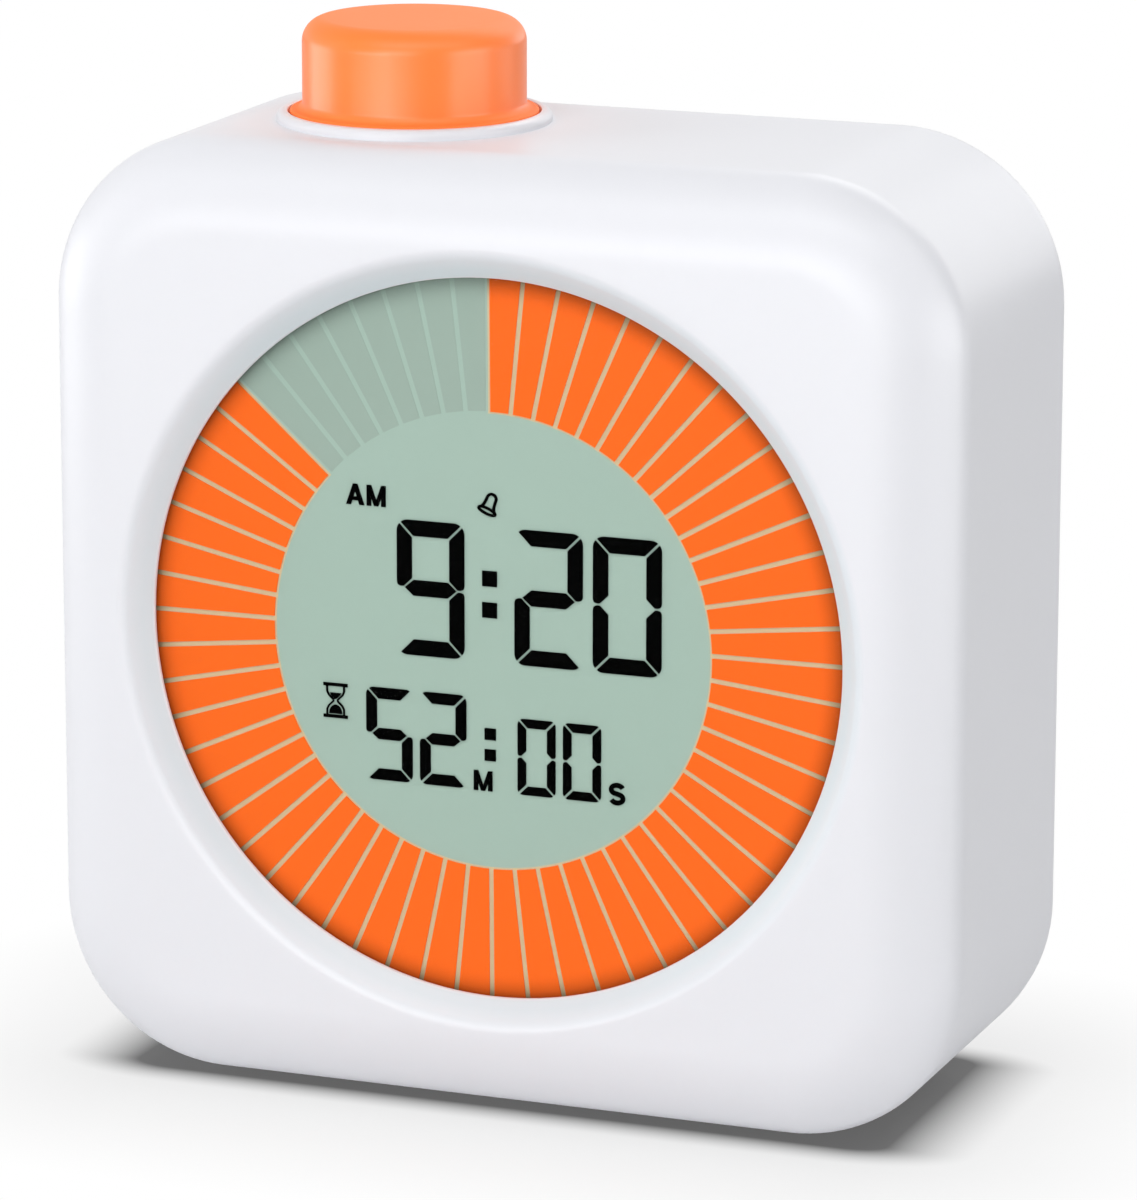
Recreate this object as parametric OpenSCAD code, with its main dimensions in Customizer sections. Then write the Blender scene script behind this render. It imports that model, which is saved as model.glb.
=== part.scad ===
// Countdown timer and alarm clock: a rounded white case with a round display dial,
// a press-and-turn knob on top, and keys, a volume switch and a battery bay at the back.
// +Z is up, the dial faces -Y, and the origin is under the middle of the case, on the table.

/* [Case] */
// Width of the case
case_w = 92; // [86:1:110]
// Height of the case without its feet
case_h = 92.4; // [86:0.2:110]
// Depth of the case
case_d = 40; // [38:0.5:60]
// Corner radius of the case, seen from the front
corner_r = 16.7; // [15:0.1:19]
// Wall thickness of the case
wall = 2.2; // [1.8:0.1:2.6]
// Width of the rounded front edge
edge_w = 8.5; // [7.5:0.1:9.5]
// Depth of the rounded front edge
edge_d = 5; // [4:0.1:5.6]
// Fillet where the front edge turns into the sides
crease_r = 4; // [2:0.1:4.4]
// Radius of the rear edge
rear_r = 6; // [4:0.1:7]
// Thickness of the front wall around the dial
front_wall = 2.6; // [2.4:0.1:3]
// Thickness of the locating tongue behind the front cover
tongue_t = 1.05; // [0.8:0.05:1.4]
// Length of the locating tongue
tongue_l = 2; // [1:0.1:3]
// Gap between the tongue and the rear case
tongue_gap = 0.15; // [0.1:0.05:0.3]

/* [Dial] */
// Width of the white frame beside the dial opening
frame_w = 10.95; // [10:0.05:14]
// Width of the sloping lip around the dial
lip_w = 2.2; // [1.5:0.1:3]
// Depth of the sloping part of the lip
lip_slope_d = 1.9; // [1:0.1:2]
// Straight land under the lip
lip_land = 0.3; // [0.2:0.05:0.4]
// Rounding where the lip leaves the front face
lip_round = 2; // [0.5:0.1:3]
// Visible width of the ring of minute segments
ring_w = 12.8; // [10:0.1:15]
// How far the ring runs on under the lip
ring_under = 1.1; // [0.5:0.1:1.5]
// Minute segments in the ring
minutes = 60; // [12:12:60]
// Minutes left on the countdown, which are the coloured segments
minutes_left = 52; // [1:1:59]
// Pale line between two segments
segment_gap = 0.5; // [0.2:0.05:0.8]

/* [Display] */
// Thickness of the clear dial lens
lens_t = 0.5; // [0.4:0.05:0.8]
// How far the lens reaches under the lip
lens_margin = 3; // [2:0.1:3.4]
// Thickness of each display glass
glass_t = 0.8; // [0.5:0.05:1.1]
// How far the glass reaches past the dial opening
glass_margin = 1.7; // [1.2:0.1:2]
// How far the glass corners reach past its sides, along the diagonal
glass_corner = 6; // [2:0.5:8]
// Contact ledge of the front glass, below the rear glass
ledge = 2; // [1.5:0.1:2.2]
// Thickness of the polarising film
film_t = 0.2; // [0.1:0.05:0.3]
// Thickness of the white reflector sheet
reflector_t = 1.3; // [0.8:0.1:1.6]
// Thickness of the segment inlays
ink_t = 0.12; // [0.08:0.02:0.2]
// Radius of the clear disc that the digits are drawn for
art_disc_r = 22.3; // [15:0.1:30]
// Shift of the display picture to the right of the dial's middle
art_x = -0.4; // [-0.5:0.1:0.5]
// Shift of the display picture above the dial's middle
art_up = 0.2; // [-0.5:0.1:0.5]
// Pale line between two strokes of a digit
stroke_gap = 0.25; // [0.1:0.05:0.4]
// Height of the clock digits
clock_h = 13.3; // [8:0.1:14]
// Width of the clock digits
clock_w = 6.95; // [4:0.05:7.5]
// Stroke of the clock digits
clock_stroke = 1.5; // [0.6:0.05:1.8]
// Height of the minute digits of the countdown
minute_h = 8.95; // [5:0.05:9.5]
// Width of the minute digits of the countdown
minute_w = 4.8; // [3:0.05:5]
// Stroke of the minute digits of the countdown
minute_stroke = 1.05; // [0.5:0.05:1.2]
// Height of the second digits of the countdown
second_h = 7.15; // [4:0.05:8]
// Width of the second digits of the countdown
second_w = 3.8; // [2:0.05:4]
// Stroke of the second digits of the countdown
second_stroke = 0.8; // [0.4:0.05:1]

/* [Display holder and main board] */
// Wall of the tray rim around the glass
rim_t = 0.9; // [0.6:0.05:1.2]
// Thickness of the tray's back plate
tray_t = 1.5; // [1.2:0.1:2]
// Radius of the bosses that hold the tray
tray_boss_r = 1.9; // [1.7:0.1:2.1]
// Standoff between the tray and the main board
standoff = 1.5; // [1:0.1:3]
// Thickness of every circuit board
board_t = 1.2; // [0.8:0.1:1.6]
// Distance of the main board's sides from the sides of the case
board_in = 17; // [16:0.5:20]
// Top edge of the main board above the middle of the dial
board_top = 22; // [20:0.5:24]
// Thickness of the contact strip between glass and board
strip_t = 1.6; // [1:0.1:1.8]

/* [Knob] */
// Distance of the knob's axis from the left side of the case
knob_in = 30.8; // [30:0.1:36]
// Distance of the knob's axis behind the middle of the flat top
knob_back = 0.6; // [0:0.1:0.6]
// Flat top left in front of and behind a centred collar
collar_side = 0.6; // [0.6:0.1:3]
// Width of the flange below the grip
flange_w = 1.2; // [1:0.1:2]
// Height of the flange's top above the case
flange_top = 1; // [0.6:0.1:1.6]
// Height of the knob's top above the case
knob_h = 9.9; // [8.5:0.1:14]
// Rounding of the knob's top edge
knob_round = 2.8; // [1:0.1:3.5]
// Fillet between the grip and the flange
knob_fillet = 0.8; // [0.3:0.05:0.8]
// Wall thickness of the knob
knob_wall = 1.6; // [1.2:0.1:2]
// Push travel of the knob
knob_travel = 0.5; // [0.3:0.05:0.8]
// Gap around the knob's flange
knob_gap = 0.4; // [0.3:0.05:0.6]
// Width of the collar ring around the knob
collar_w = 0.9; // [0.6:0.05:1.2]
// Height of the collar ring above the case
collar_h = 1.2; // [0.8:0.05:1.6]

/* [Encoder] */
// Radius of the encoder shaft
shaft_r = 3; // [2:0.1:3.2]
// Running clearance of the shaft in its bushing
shaft_gap = 0.05; // [0.02:0.01:0.1]
// Side of the square encoder body
encoder_side = 12; // [11:0.5:14]
// Height of the encoder body
encoder_h = 7; // [6.5:0.1:9]
// Outer radius of the threaded bushing
bushing_r = 4.4; // [4:0.1:5]
// Length of the bushing above the encoder body
bushing_l = 5.4; // [4:0.1:6.4]

/* [Rear keys] */
// Radius of a rear key
key_r = 3.6; // [2.5:0.1:4]
// Distance between neighbouring keys
key_pitch = 14; // [12:0.5:15]
// Place of the first key, left of the middle seen from the front
key_first = 26; // [24:0.5:28]
// Height of the row of keys above the middle of the case
key_up = 13; // [12:0.5:15]
// Travel of a key
key_travel = 0.5; // [0.3:0.05:0.6]
// Clearance around moving keys, slider and door
move_gap = 0.3; // [0.25:0.05:0.4]
// Depth of the recess that the keys stand in
key_recess = 0.8; // [0.4:0.1:1]
// Travel of the volume slider to each side
slider_travel = 2.5; // [1.5:0.1:3]
// Place of the volume slider, right of the middle seen from the front
slider_x = 22; // [21:0.5:24]
// Length of the slider's thumb grip
slider_grip = 4; // [3:0.1:5]

/* [Battery bay] */
// Diameter of a battery cell
cell_dia = 10.5; // [10:0.1:10.5]
// Length of a battery cell with its nub
cell_len = 44.5; // [44:0.1:44.5]
// Distance between neighbouring cells
cell_pitch = 11; // [10.8:0.1:11.5]
// Cells in the bay
cells = 3; // [1:1:3]
// Middle of the bay below the middle of the case
bay_down = 17.5; // [17:0.5:19]
// Length of a compressed contact spring
spring_len = 4; // [3:0.1:5]
// Thickness of contact plates and springs
contact_t = 0.4; // [0.3:0.05:0.5]
// Wall of the bay
bay_wall = 1.5; // [1.2:0.1:2]
// Thickness of the battery door
door_t = 2; // [1.6:0.1:2.1]
// How far the door overlaps the bay's walls
door_seat = 0.9; // [0.6:0.05:1.1]

/* [Sounder, feet and fasteners] */
// Radius of the sounder
sounder_r = 9.5; // [8:0.1:9.8]
// Thickness of the sounder
sounder_t = 5; // [3:0.1:5.4]
// Place of the sounder, right of the middle seen from the front
sounder_x = 8; // [4:0.5:10]
// Height of the feet below the case
foot_h = 2; // [1:0.1:4]
// Radius of a foot
foot_r = 3.5; // [3:0.1:5]
// Depth of the pocket that a foot is glued into
foot_pocket = 0.8; // [0.4:0.1:1.2]
// Distance of the feet from the middle, sideways
foot_x = 24; // [18:0.5:26]
// Distance of the feet from the middle, front to back
foot_y = 5.5; // [5:0.5:10]
// Radius of a case screw
screw_r = 1.2; // [1:0.05:1.4]
// Radius of a small board screw
small_screw_r = 0.85; // [0.7:0.05:1]

/* [Hidden] */
$fn = 64;

eps = 0.01;
case_mid = foot_h + case_h / 2;
case_top = foot_h + case_h;
corner_x = case_w / 2 - corner_r;
corner_y = case_h / 2 - corner_r;

// Front edge: one arc off the front face, then the crease fillet into the side
edge_R = (edge_w * edge_w + edge_d * edge_d) / (2 * edge_d);
fillet_run = edge_w - crease_r;
fillet_rise = sqrt(pow(edge_R - crease_r, 2) - fillet_run * fillet_run);
edge_turn = atan2(fillet_run, fillet_rise);
parting_d = edge_R - fillet_rise;
cover_wall = wall + tongue_gap + tongue_t;

// Dial and the stack behind it, as depths behind the front face
dial_r = min(case_w, case_h) / 2 - frame_w;
disc_r = dial_r - ring_w;
ring_r = dial_r + ring_under;
art_k = disc_r / art_disc_r;
seat_gap = 0.05;
lip_d = lip_slope_d + lip_land;
lip_angle = atan2(lip_slope_d, lip_w);
lip_blend = lip_round * tan(lip_angle / 2);
lens_r = dial_r + lens_margin;
lens_d = lip_d + seat_gap;
ink_d = lens_d + lens_t + seat_gap;
film_d = ink_d + ink_t;
glass_d = film_d + film_t;
rear_glass_d = glass_d + glass_t;
reflector_d = rear_glass_d + glass_t;
tray_d = reflector_d + reflector_t + seat_gap;
board_d = tray_d + tray_t + standoff;
board_back = board_d + board_t;
cavity_inset = frame_w - lens_margin;
cavity_d = max(edge_d + 0.9, front_wall + 1);
glass_half = dial_r + glass_margin;
glass_diag = glass_half + glass_corner;
tray_gap = 0.2;
tray_half = glass_half + tray_gap + rim_t;
tray_diag = glass_diag + tray_gap + rim_t;
rim_d = glass_d + glass_t / 2;
tray_ear_x = case_w / 2 - cover_wall - tray_boss_r - 0.5;
tray_ear_y = corner_y - 1.5;
tray_plate_x = case_w / 2 - cover_wall - 0.3;
tray_plate_y = corner_y + 1.5;
strip_l = 2 * glass_half - 2 * (2 * glass_half - glass_diag * sqrt(2)) - 2;
strip_y = -(glass_half + ledge / 2);
board_bottom = strip_y - strip_t / 2 - 0.6;
post_r = 2.2;
board_half_w = case_w / 2 - board_in;
board_edge = 3.5;
board_low_edge = 9;
board_post_x = board_half_w - board_edge;
board_post_y = [board_top - board_edge, board_bottom + board_low_edge];
socket_w = 10;
socket_d = 4;
socket_h = 3;
key_socket_x = 14;
key_socket_down = 9;
key_socket_y = board_top - key_socket_down;
encoder_socket_down = 5;
encoder_socket_y = board_top - encoder_socket_down;

// Case screws run from the back through tubes into bosses of the front cover
screw_in = 5.2;
screw_x = corner_x + screw_in;
screw_y = corner_y + screw_in;
boss_r = 3.2;
tube_r = 3.6;
boss_d = parting_d + tongue_l;
screw_seat_d = case_d / 2;
screw_tip_d = front_wall + 1.2;
screw_slip = 0.15;
head_r = 2.2;
head_h = 1.6;
small_head_r = 1.7;
small_head_h = 1.1;
thread_gap = 0.03;
thread_l = 4.5;

// Knob and encoder, as heights above the case top
knob_x = knob_in - case_w / 2;
knob_y = (parting_d + case_d - rear_r) / 2 + knob_back - case_d / 2;
collar_out = (case_d - parting_d - rear_r) / 2 - collar_side;
collar_in = collar_out - collar_w;
flange_r = collar_in - knob_gap;
grip_r = flange_r - flange_w;
sleeve_t = 0.4;
flange_low = -wall / 2;
hub_r = shaft_r + 1.8;
hub_low = flange_low + 0.6;
bushing_top = hub_low - knob_travel - 1.4;
encoder_top = bushing_top - bushing_l;
encoder_low = encoder_top - encoder_h;
encoder_floor = 0.6;
shaft_high = knob_h - knob_wall - 0.7;
flat_depth = 1;
plunger_t = 1.2;
dome_t = 0.25;
dome_rise = 0.4;
plunger_low = encoder_low + encoder_floor + dome_t + dome_rise + knob_travel + 0.1;
shaft_low = plunger_low + plunger_t + seat_gap;
collar_hole_r = collar_in + sleeve_t + seat_gap;
encoder_post_r = 2.4;
encoder_post_at = collar_hole_r + encoder_post_r + tray_gap;
encoder_post_turn = 40;
fit_gap = 0.02;

// Rear keys, as distances ahead of the rear face
key_flange_t = 1;
key_flange_r = key_r + 1;
key_stem_r = 1.6;
key_stem_l = 0.8;
key_flange_a = wall + move_gap;
key_stem_a = key_flange_a + key_flange_t + key_stem_l;
switch_a = key_stem_a + key_travel + 0.1;
switch_h = 3.6;
switch_side = 6;
actuator_h = 0.5;
actuator_r = 1.7;
key_board_a = switch_a + actuator_h + switch_h;
keys = 3;
key_x = [for (i = [0 : keys - 1]) i * key_pitch - key_first];
slot_half = slider_travel + slider_grip / 2 + move_gap;
slot_h = 4.4;
slider_flange = slot_half + slider_travel + 0.6;
slider_body_h = 7;
lever_w = 2;
lever_slot_d = 1.4;
key_post_x = [key_x[0] - key_flange_r - 4, slider_x + slider_flange + slider_travel + 4];
panel_x = [key_x[0] - key_flange_r - 1.5, slider_x + slot_half + slider_travel + 1.5];
panel_h = 2 * key_flange_r + 3;

// Sounder in its ring, above the keys
sounder_ring_r = sounder_r + tray_gap + 1;
sounder_up = key_up + key_flange_r + move_gap + 0.1 + sounder_ring_r;
sounder_step = 0.8;
lead_in = 1.2;
lead_y = sounder_up - sounder_r + lead_in;
key_board_h = 2 * (lead_y + lead_in - key_up);

// Battery bay
cell_r = cell_dia / 2;
bay_half_x = (cell_len + contact_t + spring_len) / 2;
bay_half_y = cells * cell_pitch / 2 + 0.5;
bay_y = -bay_down;
cell_a = door_t + 0.6 + cell_r;
bay_floor_a = cell_a + cell_r + 0.4;
door_half_x = bay_half_x + door_seat;
door_half_y = bay_half_y + door_seat;
door_low = bay_y - door_half_y;
hinge_y = door_low + door_t / 2;
hook_x = bay_half_x * 0.56;
hook_w = 6;
hook_t = 1.2;
hook_drop = 1.6;
hook_neck = 2.2;
hook_a = wall + move_gap;
nub_r = 1.9;
nub_h = 0.8;
finger_r = 5;
finger_d = 1.1;
door_grooves = 4;

// Depth behind the front face, and distance ahead of the rear face, as local heights
function behind(d) = case_d / 2 - d;
function from_rear(a) = case_d - a;
// Points of an arc whose angle runs from the front direction towards the outside
function arc(c, r, s0, s1, n) = [for (i = [0 : n])
    let (s = s0 + (s1 - s0) * i / n) [c[0] + r * sin(s), c[1] + r * cos(s)]];

// Parts of the case are drawn lying on their back, front face up, and stood up here
module face_up() {
    translate([0, 0, case_mid]) rotate([90, 0, 0]) children();
}

// The knob's parts are drawn about its axis, from the case top upwards
module on_knob_axis() {
    translate([knob_x, knob_y, case_top]) children();
}

// The two posts that carry the encoder's board stand askew, clear of the collar's hole
module encoder_posts(z) {
    on_knob_axis() for (side = [0, 180]) rotate(side - encoder_post_turn)
        translate([encoder_post_at, 0, z]) children();
}

// Box and disc between two depths behind the front face
module slab(size, at, d0, d1) {
    translate([at[0] - size[0] / 2, at[1] - size[1] / 2, behind(d1)])
        cube([size[0], size[1], d1 - d0]);
}

module disc(r, at, d0, d1) {
    translate([at[0], at[1], behind(d1)]) cylinder(r = r, h = d1 - d0);
}

module four_corners(x, y) {
    for (sx = [-1, 1], sy = [-1, 1]) translate([sx * x, sy * y, 0]) children();
}

// Rounded square of the case outline, carried from one edge profile between two depths.
// The profile runs outward from the corner's own axis.
module rounded_square(d0, d1) {
    for (i = [0 : 3]) {
        sx = (i == 0 || i == 3) ? 1 : -1;
        sy = (i < 2) ? 1 : -1;
        translate([sx * corner_x, sy * corner_y, 0])
            rotate(90 * i) rotate_extrude(angle = 90) children(0);
        span = (i % 2 == 0) ? corner_y : corner_x;
        reach = (i % 2 == 0) ? corner_x : corner_y;
        rotate(90 * i) translate([reach, 0, 0]) rotate([90, 0, 0])
            linear_extrude(height = 2 * span, center = true) children(0);
    }
    slab([2 * corner_x, 2 * corner_y], [0, 0], d0, d1);
}

module cover_edge() {
    c1 = [corner_r - edge_w, behind(edge_R)];
    c2 = [corner_r - crease_r, behind(parting_d)];
    fillet = arc(c2, crease_r, edge_turn, 90, 4);
    polygon(concat([[0, behind(parting_d)], [0, behind(0)]], arc(c1, edge_R, 0, edge_turn, 10),
        [for (i = [1 : len(fillet) - 1]) fillet[i]]));
}

module tongue_edge() {
    translate([0, behind(boss_d)]) square([corner_r - wall - tongue_gap, tongue_l + eps]);
}

module cover_cavity() {
    polygon([[0, behind(boss_d + 1)], [corner_r - cover_wall, behind(boss_d + 1)],
        [corner_r - cover_wall, behind(cavity_d)], [corner_r - cavity_inset, behind(front_wall)],
        [0, behind(front_wall)]]);
}

module case_edge() {
    c = [corner_r - rear_r, behind(from_rear(rear_r))];
    polygon(concat([[0, behind(parting_d)], [corner_r, behind(parting_d)]],
        arc(c, rear_r, 90, 180, 8), [[0, behind(case_d)]]));
}

module case_cavity() {
    polygon([[0, behind(parting_d - 1)], [corner_r - wall, behind(parting_d - 1)],
        [corner_r - wall, behind(from_rear(rear_r))], [corner_r - rear_r, behind(from_rear(wall))],
        [0, behind(from_rear(wall))]]);
}

// Dial opening: rounded off the front face, sloping in, then a short straight land
module dial_cut() {
    top_r = dial_r + lip_w + lip_blend;
    rotate_extrude() polygon(concat([[0, behind(-1)], [top_r, behind(-1)]],
        [for (p = arc([top_r, behind(lip_round)], lip_round, 0, -lip_angle, 5)) p],
        [[dial_r, behind(lip_slope_d)], [dial_r, behind(front_wall + 1)], [0, behind(front_wall + 1)]]));
}

module front_cover() {
    color("white") face_up() difference() {
        union() {
            difference() {
                union() {
                    rounded_square(0, parting_d) cover_edge();
                    rounded_square(parting_d - eps, boss_d) tongue_edge();
                }
                rounded_square(front_wall, boss_d + 1) cover_cavity();
            }
            four_corners(screw_x, screw_y) disc(boss_r, [0, 0], front_wall - 1, boss_d);
            four_corners(tray_ear_x, tray_ear_y) disc(tray_boss_r, [0, 0], front_wall, tray_d);
        }
        dial_cut();
        disc(lens_r + tray_gap, [0, 0], lip_d, front_wall + eps);
        four_corners(screw_x, screw_y) disc(screw_r + thread_gap, [0, 0], screw_tip_d - 0.4, boss_d + 1);
        four_corners(tray_ear_x, tray_ear_y)
            disc(small_screw_r + thread_gap, [0, 0], front_wall + 0.6, tray_d + 1);
    }
}

// Solids that stand on the inside of the rear case
module case_fittings() {
    four_corners(screw_x, screw_y) disc(tube_r, [0, 0], boss_d, from_rear(wall / 2));
    slab([2 * (bay_half_x + bay_wall), 2 * (bay_half_y + bay_wall)], [0, bay_y],
        from_rear(bay_floor_a + bay_wall), from_rear(wall / 2));
    for (x = key_post_x)
        disc(post_r, [x, key_up], from_rear(key_board_a), from_rear(wall / 2));
    disc(sounder_ring_r, [sounder_x, sounder_up], from_rear(wall + sounder_t - 1),
        from_rear(wall / 2));
}

module sound_holes() {
    hole_r = 0.8;
    hole_step = 3.2;
    disc(hole_r, [sounder_x, sounder_up], from_rear(wall + 1), from_rear(-1));
    for (ring = [1, 2], i = [0 : 6 * ring - 1]) {
        a = i * 60 / ring;
        at = [sounder_x + ring * hole_step * cos(a), sounder_up + ring * hole_step * sin(a)];
        disc(hole_r, at, from_rear(wall + 1), from_rear(-1));
    }
}

// Everything cut out of the back wall and its fittings
module rear_cuts() {
    four_corners(screw_x, screw_y) {
        disc(screw_r + screw_slip, [0, 0], boss_d - 1, screw_seat_d + eps);
        disc(head_r + screw_slip, [0, 0], screw_seat_d, case_d + 1);
    }
    slab([2 * bay_half_x, 2 * bay_half_y], [0, bay_y], from_rear(bay_floor_a), case_d + 1);
    slab([2 * (door_half_x + move_gap), 2 * (door_half_y + move_gap)], [0, bay_y],
        from_rear(door_t + seat_gap), case_d + 1);
    for (sx = [-1, 1]) slab([hook_w + 2 * move_gap, 2 * (door_t + hook_neck + hook_drop)],
        [sx * hook_x, door_low], from_rear(hook_a + hook_t + 2.2), from_rear(door_t));
    intersection() {
        disc(finger_r, [0, bay_y + door_half_y], from_rear(finger_d), case_d + 1);
        slab([2 * finger_r, finger_r], [0, bay_y + door_half_y + finger_r / 2], 0, case_d + 1);
    }
    slab([panel_x[1] - panel_x[0], panel_h], [(panel_x[0] + panel_x[1]) / 2, key_up],
        from_rear(key_recess), case_d + 1);
    for (x = panel_x) disc(panel_h / 2, [x, key_up], from_rear(key_recess), case_d + 1);
    for (x = key_x) disc(key_r + move_gap, [x, key_up], from_rear(wall + 1), case_d + 1);
    slab([2 * slot_half, slot_h], [slider_x, key_up], from_rear(wall + 1), case_d + 1);
    for (x = key_post_x)
        disc(small_screw_r + thread_gap, [x, key_up], from_rear(key_board_a + 1), from_rear(wall + 0.4));
    disc(sounder_r + tray_gap, [sounder_x, sounder_up], from_rear(wall + sounder_t), from_rear(wall));
    sound_holes();
}

module rear_case() {
    color("white") difference() {
        union() {
            face_up() difference() {
                rounded_square(parting_d, case_d) case_edge();
                rounded_square(parting_d - 1, from_rear(wall)) case_cavity();
            }
            face_up() case_fittings();
            encoder_posts(encoder_low) cylinder(r = encoder_post_r, h = -encoder_low - wall / 2);
        }
        face_up() rear_cuts();
        on_knob_axis() translate([0, 0, -wall - 1]) cylinder(r = collar_hole_r, h = wall + 2);
        encoder_posts(encoder_low - 1) cylinder(r = small_screw_r + thread_gap, h = -encoder_low - wall - 1);
        for (sx = [-1, 1], sy = [-1, 1]) translate([sx * foot_x, sy * foot_y, foot_h - 1])
            cylinder(r = foot_r + seat_gap, h = 1 + foot_pocket);
    }
}

module dial_lens() {
    color("aliceblue", 0.3) face_up() disc(lens_r, [0, 0], lens_d, lens_d + lens_t);
}

// Square glass with its corners cut off
module glass_plate(half, diag, d0, d1) {
    cut = 2 * half - diag * sqrt(2);
    flat = half - cut;
    translate([0, 0, behind(d1)]) linear_extrude(height = d1 - d0)
        polygon([[half, -flat], [half, flat], [flat, half], [-flat, half],
            [-half, flat], [-half, -flat], [-flat, -half], [flat, -half]]);
}

module display_film() {
    color("#a9c1b4") face_up() glass_plate(glass_half, glass_diag, film_d, glass_d);
}

module front_glass() {
    color("#c4d2cb") face_up() {
        glass_plate(glass_half, glass_diag, glass_d, rear_glass_d);
        slab([strip_l + 1, 2 * ledge], [0, strip_y + ledge / 2], glass_d, rear_glass_d);
    }
}

module rear_glass() {
    color("#c4d2cb") face_up() glass_plate(glass_half, glass_diag, rear_glass_d, reflector_d);
}

module reflector_sheet() {
    color("whitesmoke") face_up()
        glass_plate(glass_half, glass_diag, reflector_d, reflector_d + reflector_t);
}

// One minute segment, counted clockwise from twelve o'clock, with parallel pale lines beside it
module ring_segment(i) {
    step = 360 / minutes;
    tip = segment_gap / 2 / sin(step / 2);
    apex = [tip * sin(step / 2), tip * cos(step / 2)];
    reach = 2 * ring_r;
    translate([art_x, art_up, behind(film_d)]) rotate(-step * i)
        linear_extrude(height = ink_t) intersection() {
            difference() {
                circle(r = ring_r);
                circle(r = disc_r);
            }
            polygon([apex, apex + [0, reach], apex + [reach * sin(step), reach * cos(step)]]);
        }
}

module lit_segments() {
    color("#fc6e2a") face_up() for (i = [0 : minutes_left - 1]) ring_segment(i);
}

module unlit_segments() {
    color("#9eb2a6") face_up() for (i = [minutes_left : minutes - 1]) ring_segment(i);
}

// Upright seven-stroke digit with mitred strokes, drawn about its middle.
// Strokes: top, upper right, lower right, bottom, lower left, upper left, middle.
STROKES = [[1, 1, 1, 1, 1, 1, 0], [0, 1, 1, 0, 0, 0, 0], [1, 1, 0, 1, 1, 0, 1],
    [1, 1, 1, 1, 0, 0, 1], [0, 1, 1, 0, 0, 1, 1], [1, 0, 1, 1, 0, 1, 1], [1, 0, 1, 1, 1, 1, 1],
    [1, 1, 1, 0, 0, 0, 0], [1, 1, 1, 1, 1, 1, 1], [1, 1, 1, 1, 0, 1, 1]];

module bar_stroke(w, h, s, k) {
    polygon([[k - w / 2, h / 2], [w / 2 - k, h / 2], [w / 2 - s - k, h / 2 - s], [s + k - w / 2, h / 2 - s]]);
}

module post_stroke(w, h, s, k) {
    low = stroke_gap / 2;
    polygon([[w / 2, low], [w / 2, h / 2 - k], [w / 2 - s, h / 2 - s - k], [w / 2 - s, s / 2 + k],
        [w / 2 - s / 2 + k - low, low]]);
}

module middle_stroke(w, h, s, k) {
    tip = w / 2 - s / 2 - k;
    flat = w / 2 - s - k;
    polygon([[tip, 0], [flat, s / 2], [-flat, s / 2], [-tip, 0], [-flat, -s / 2], [flat, -s / 2]]);
}

module digit(value, w, h, s) {
    on = STROKES[value];
    k = stroke_gap / sqrt(2);
    if (on[0]) bar_stroke(w, h, s, k);
    if (on[3]) mirror([0, 1]) bar_stroke(w, h, s, k);
    if (on[1]) post_stroke(w, h, s, k);
    if (on[2]) mirror([0, 1]) post_stroke(w, h, s, k);
    if (on[4]) rotate(180) post_stroke(w, h, s, k);
    if (on[5]) mirror([1, 0]) post_stroke(w, h, s, k);
    if (on[6]) middle_stroke(w, h, s, k);
}

// A group of inlays on the display film, in the measures of the drawn disc
module inlay() {
    translate([art_x, art_up, behind(film_d)]) linear_extrude(height = ink_t) scale(art_k) children();
}

module colon(side, gap) {
    for (sy = [-1, 1]) translate([0, sy * gap / 2]) square(side, center = true);
}

module clock_digit(value, x) {
    translate([x, 0]) digit(value, clock_w, clock_h, clock_stroke);
}

module minute_digit(value, x) {
    translate([x, 0]) digit(value, minute_w, minute_h, minute_stroke);
}

module second_digit(value, x) {
    translate([x, 0]) digit(value, second_w, second_h, second_stroke);
}

// Middle of each digit and dot on the drawn disc
clock_up = 4.25;
nine_x = -6.05;
two_x = 6.1;
zero_x = 14;
clock_dot = 1.5;
clock_dot_gap = 3.05;
minute_down = 10.4;
five_x = -10.35;
second_two_x = -4.85;
minute_dot = 1.1;
minute_dot_gap = 2;
second_down = 11.3;
tens_x = 4.65;
ones_x = 9.2;

module clock_digits() {
    color("black") face_up() inlay() translate([0, clock_up]) {
        clock_digit(9, nine_x);
        clock_digit(2, two_x);
        clock_digit(0, zero_x);
        colon(clock_dot, clock_dot_gap);
    }
}

module minute_digits() {
    color("black") face_up() inlay() translate([0, -minute_down]) {
        minute_digit(5, five_x);
        minute_digit(2, second_two_x);
        colon(minute_dot, minute_dot_gap);
    }
}

module second_digits() {
    color("black") face_up() inlay() translate([0, -second_down]) {
        second_digit(0, tens_x);
        second_digit(0, ones_x);
    }
}

module display_tray() {
    color("gainsboro") face_up() difference() {
        union() {
            glass_plate(tray_half, tray_diag, rim_d, tray_d + tray_t);
            slab([2 * tray_plate_x, 2 * tray_plate_y], [0, 0], tray_d, tray_d + tray_t);
            for (sx = [-1, 1], y = board_post_y)
                disc(post_r, [sx * board_post_x, y], tray_d + eps, board_d);
        }
        glass_plate(glass_half + tray_gap, glass_diag + tray_gap, rim_d - 1, tray_d);
        slab([strip_l + 1 + 2 * tray_gap, 2 * ledge + 2 * rim_t], [0, strip_y - ledge / 2 - rim_t],
            rim_d - 1, tray_d + tray_t + 1);
        slab([strip_l + 2 * tray_gap, strip_t + 2 * tray_gap], [0, strip_y], rim_d, tray_d + tray_t + 1);
        four_corners(tray_ear_x, tray_ear_y)
            disc(small_screw_r + screw_slip, [0, 0], tray_d - 1, tray_d + tray_t + 1);
        for (sx = [-1, 1], y = board_post_y)
            disc(small_screw_r + thread_gap, [sx * board_post_x, y], tray_d + 0.4, board_d + 1);
    }
}

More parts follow.
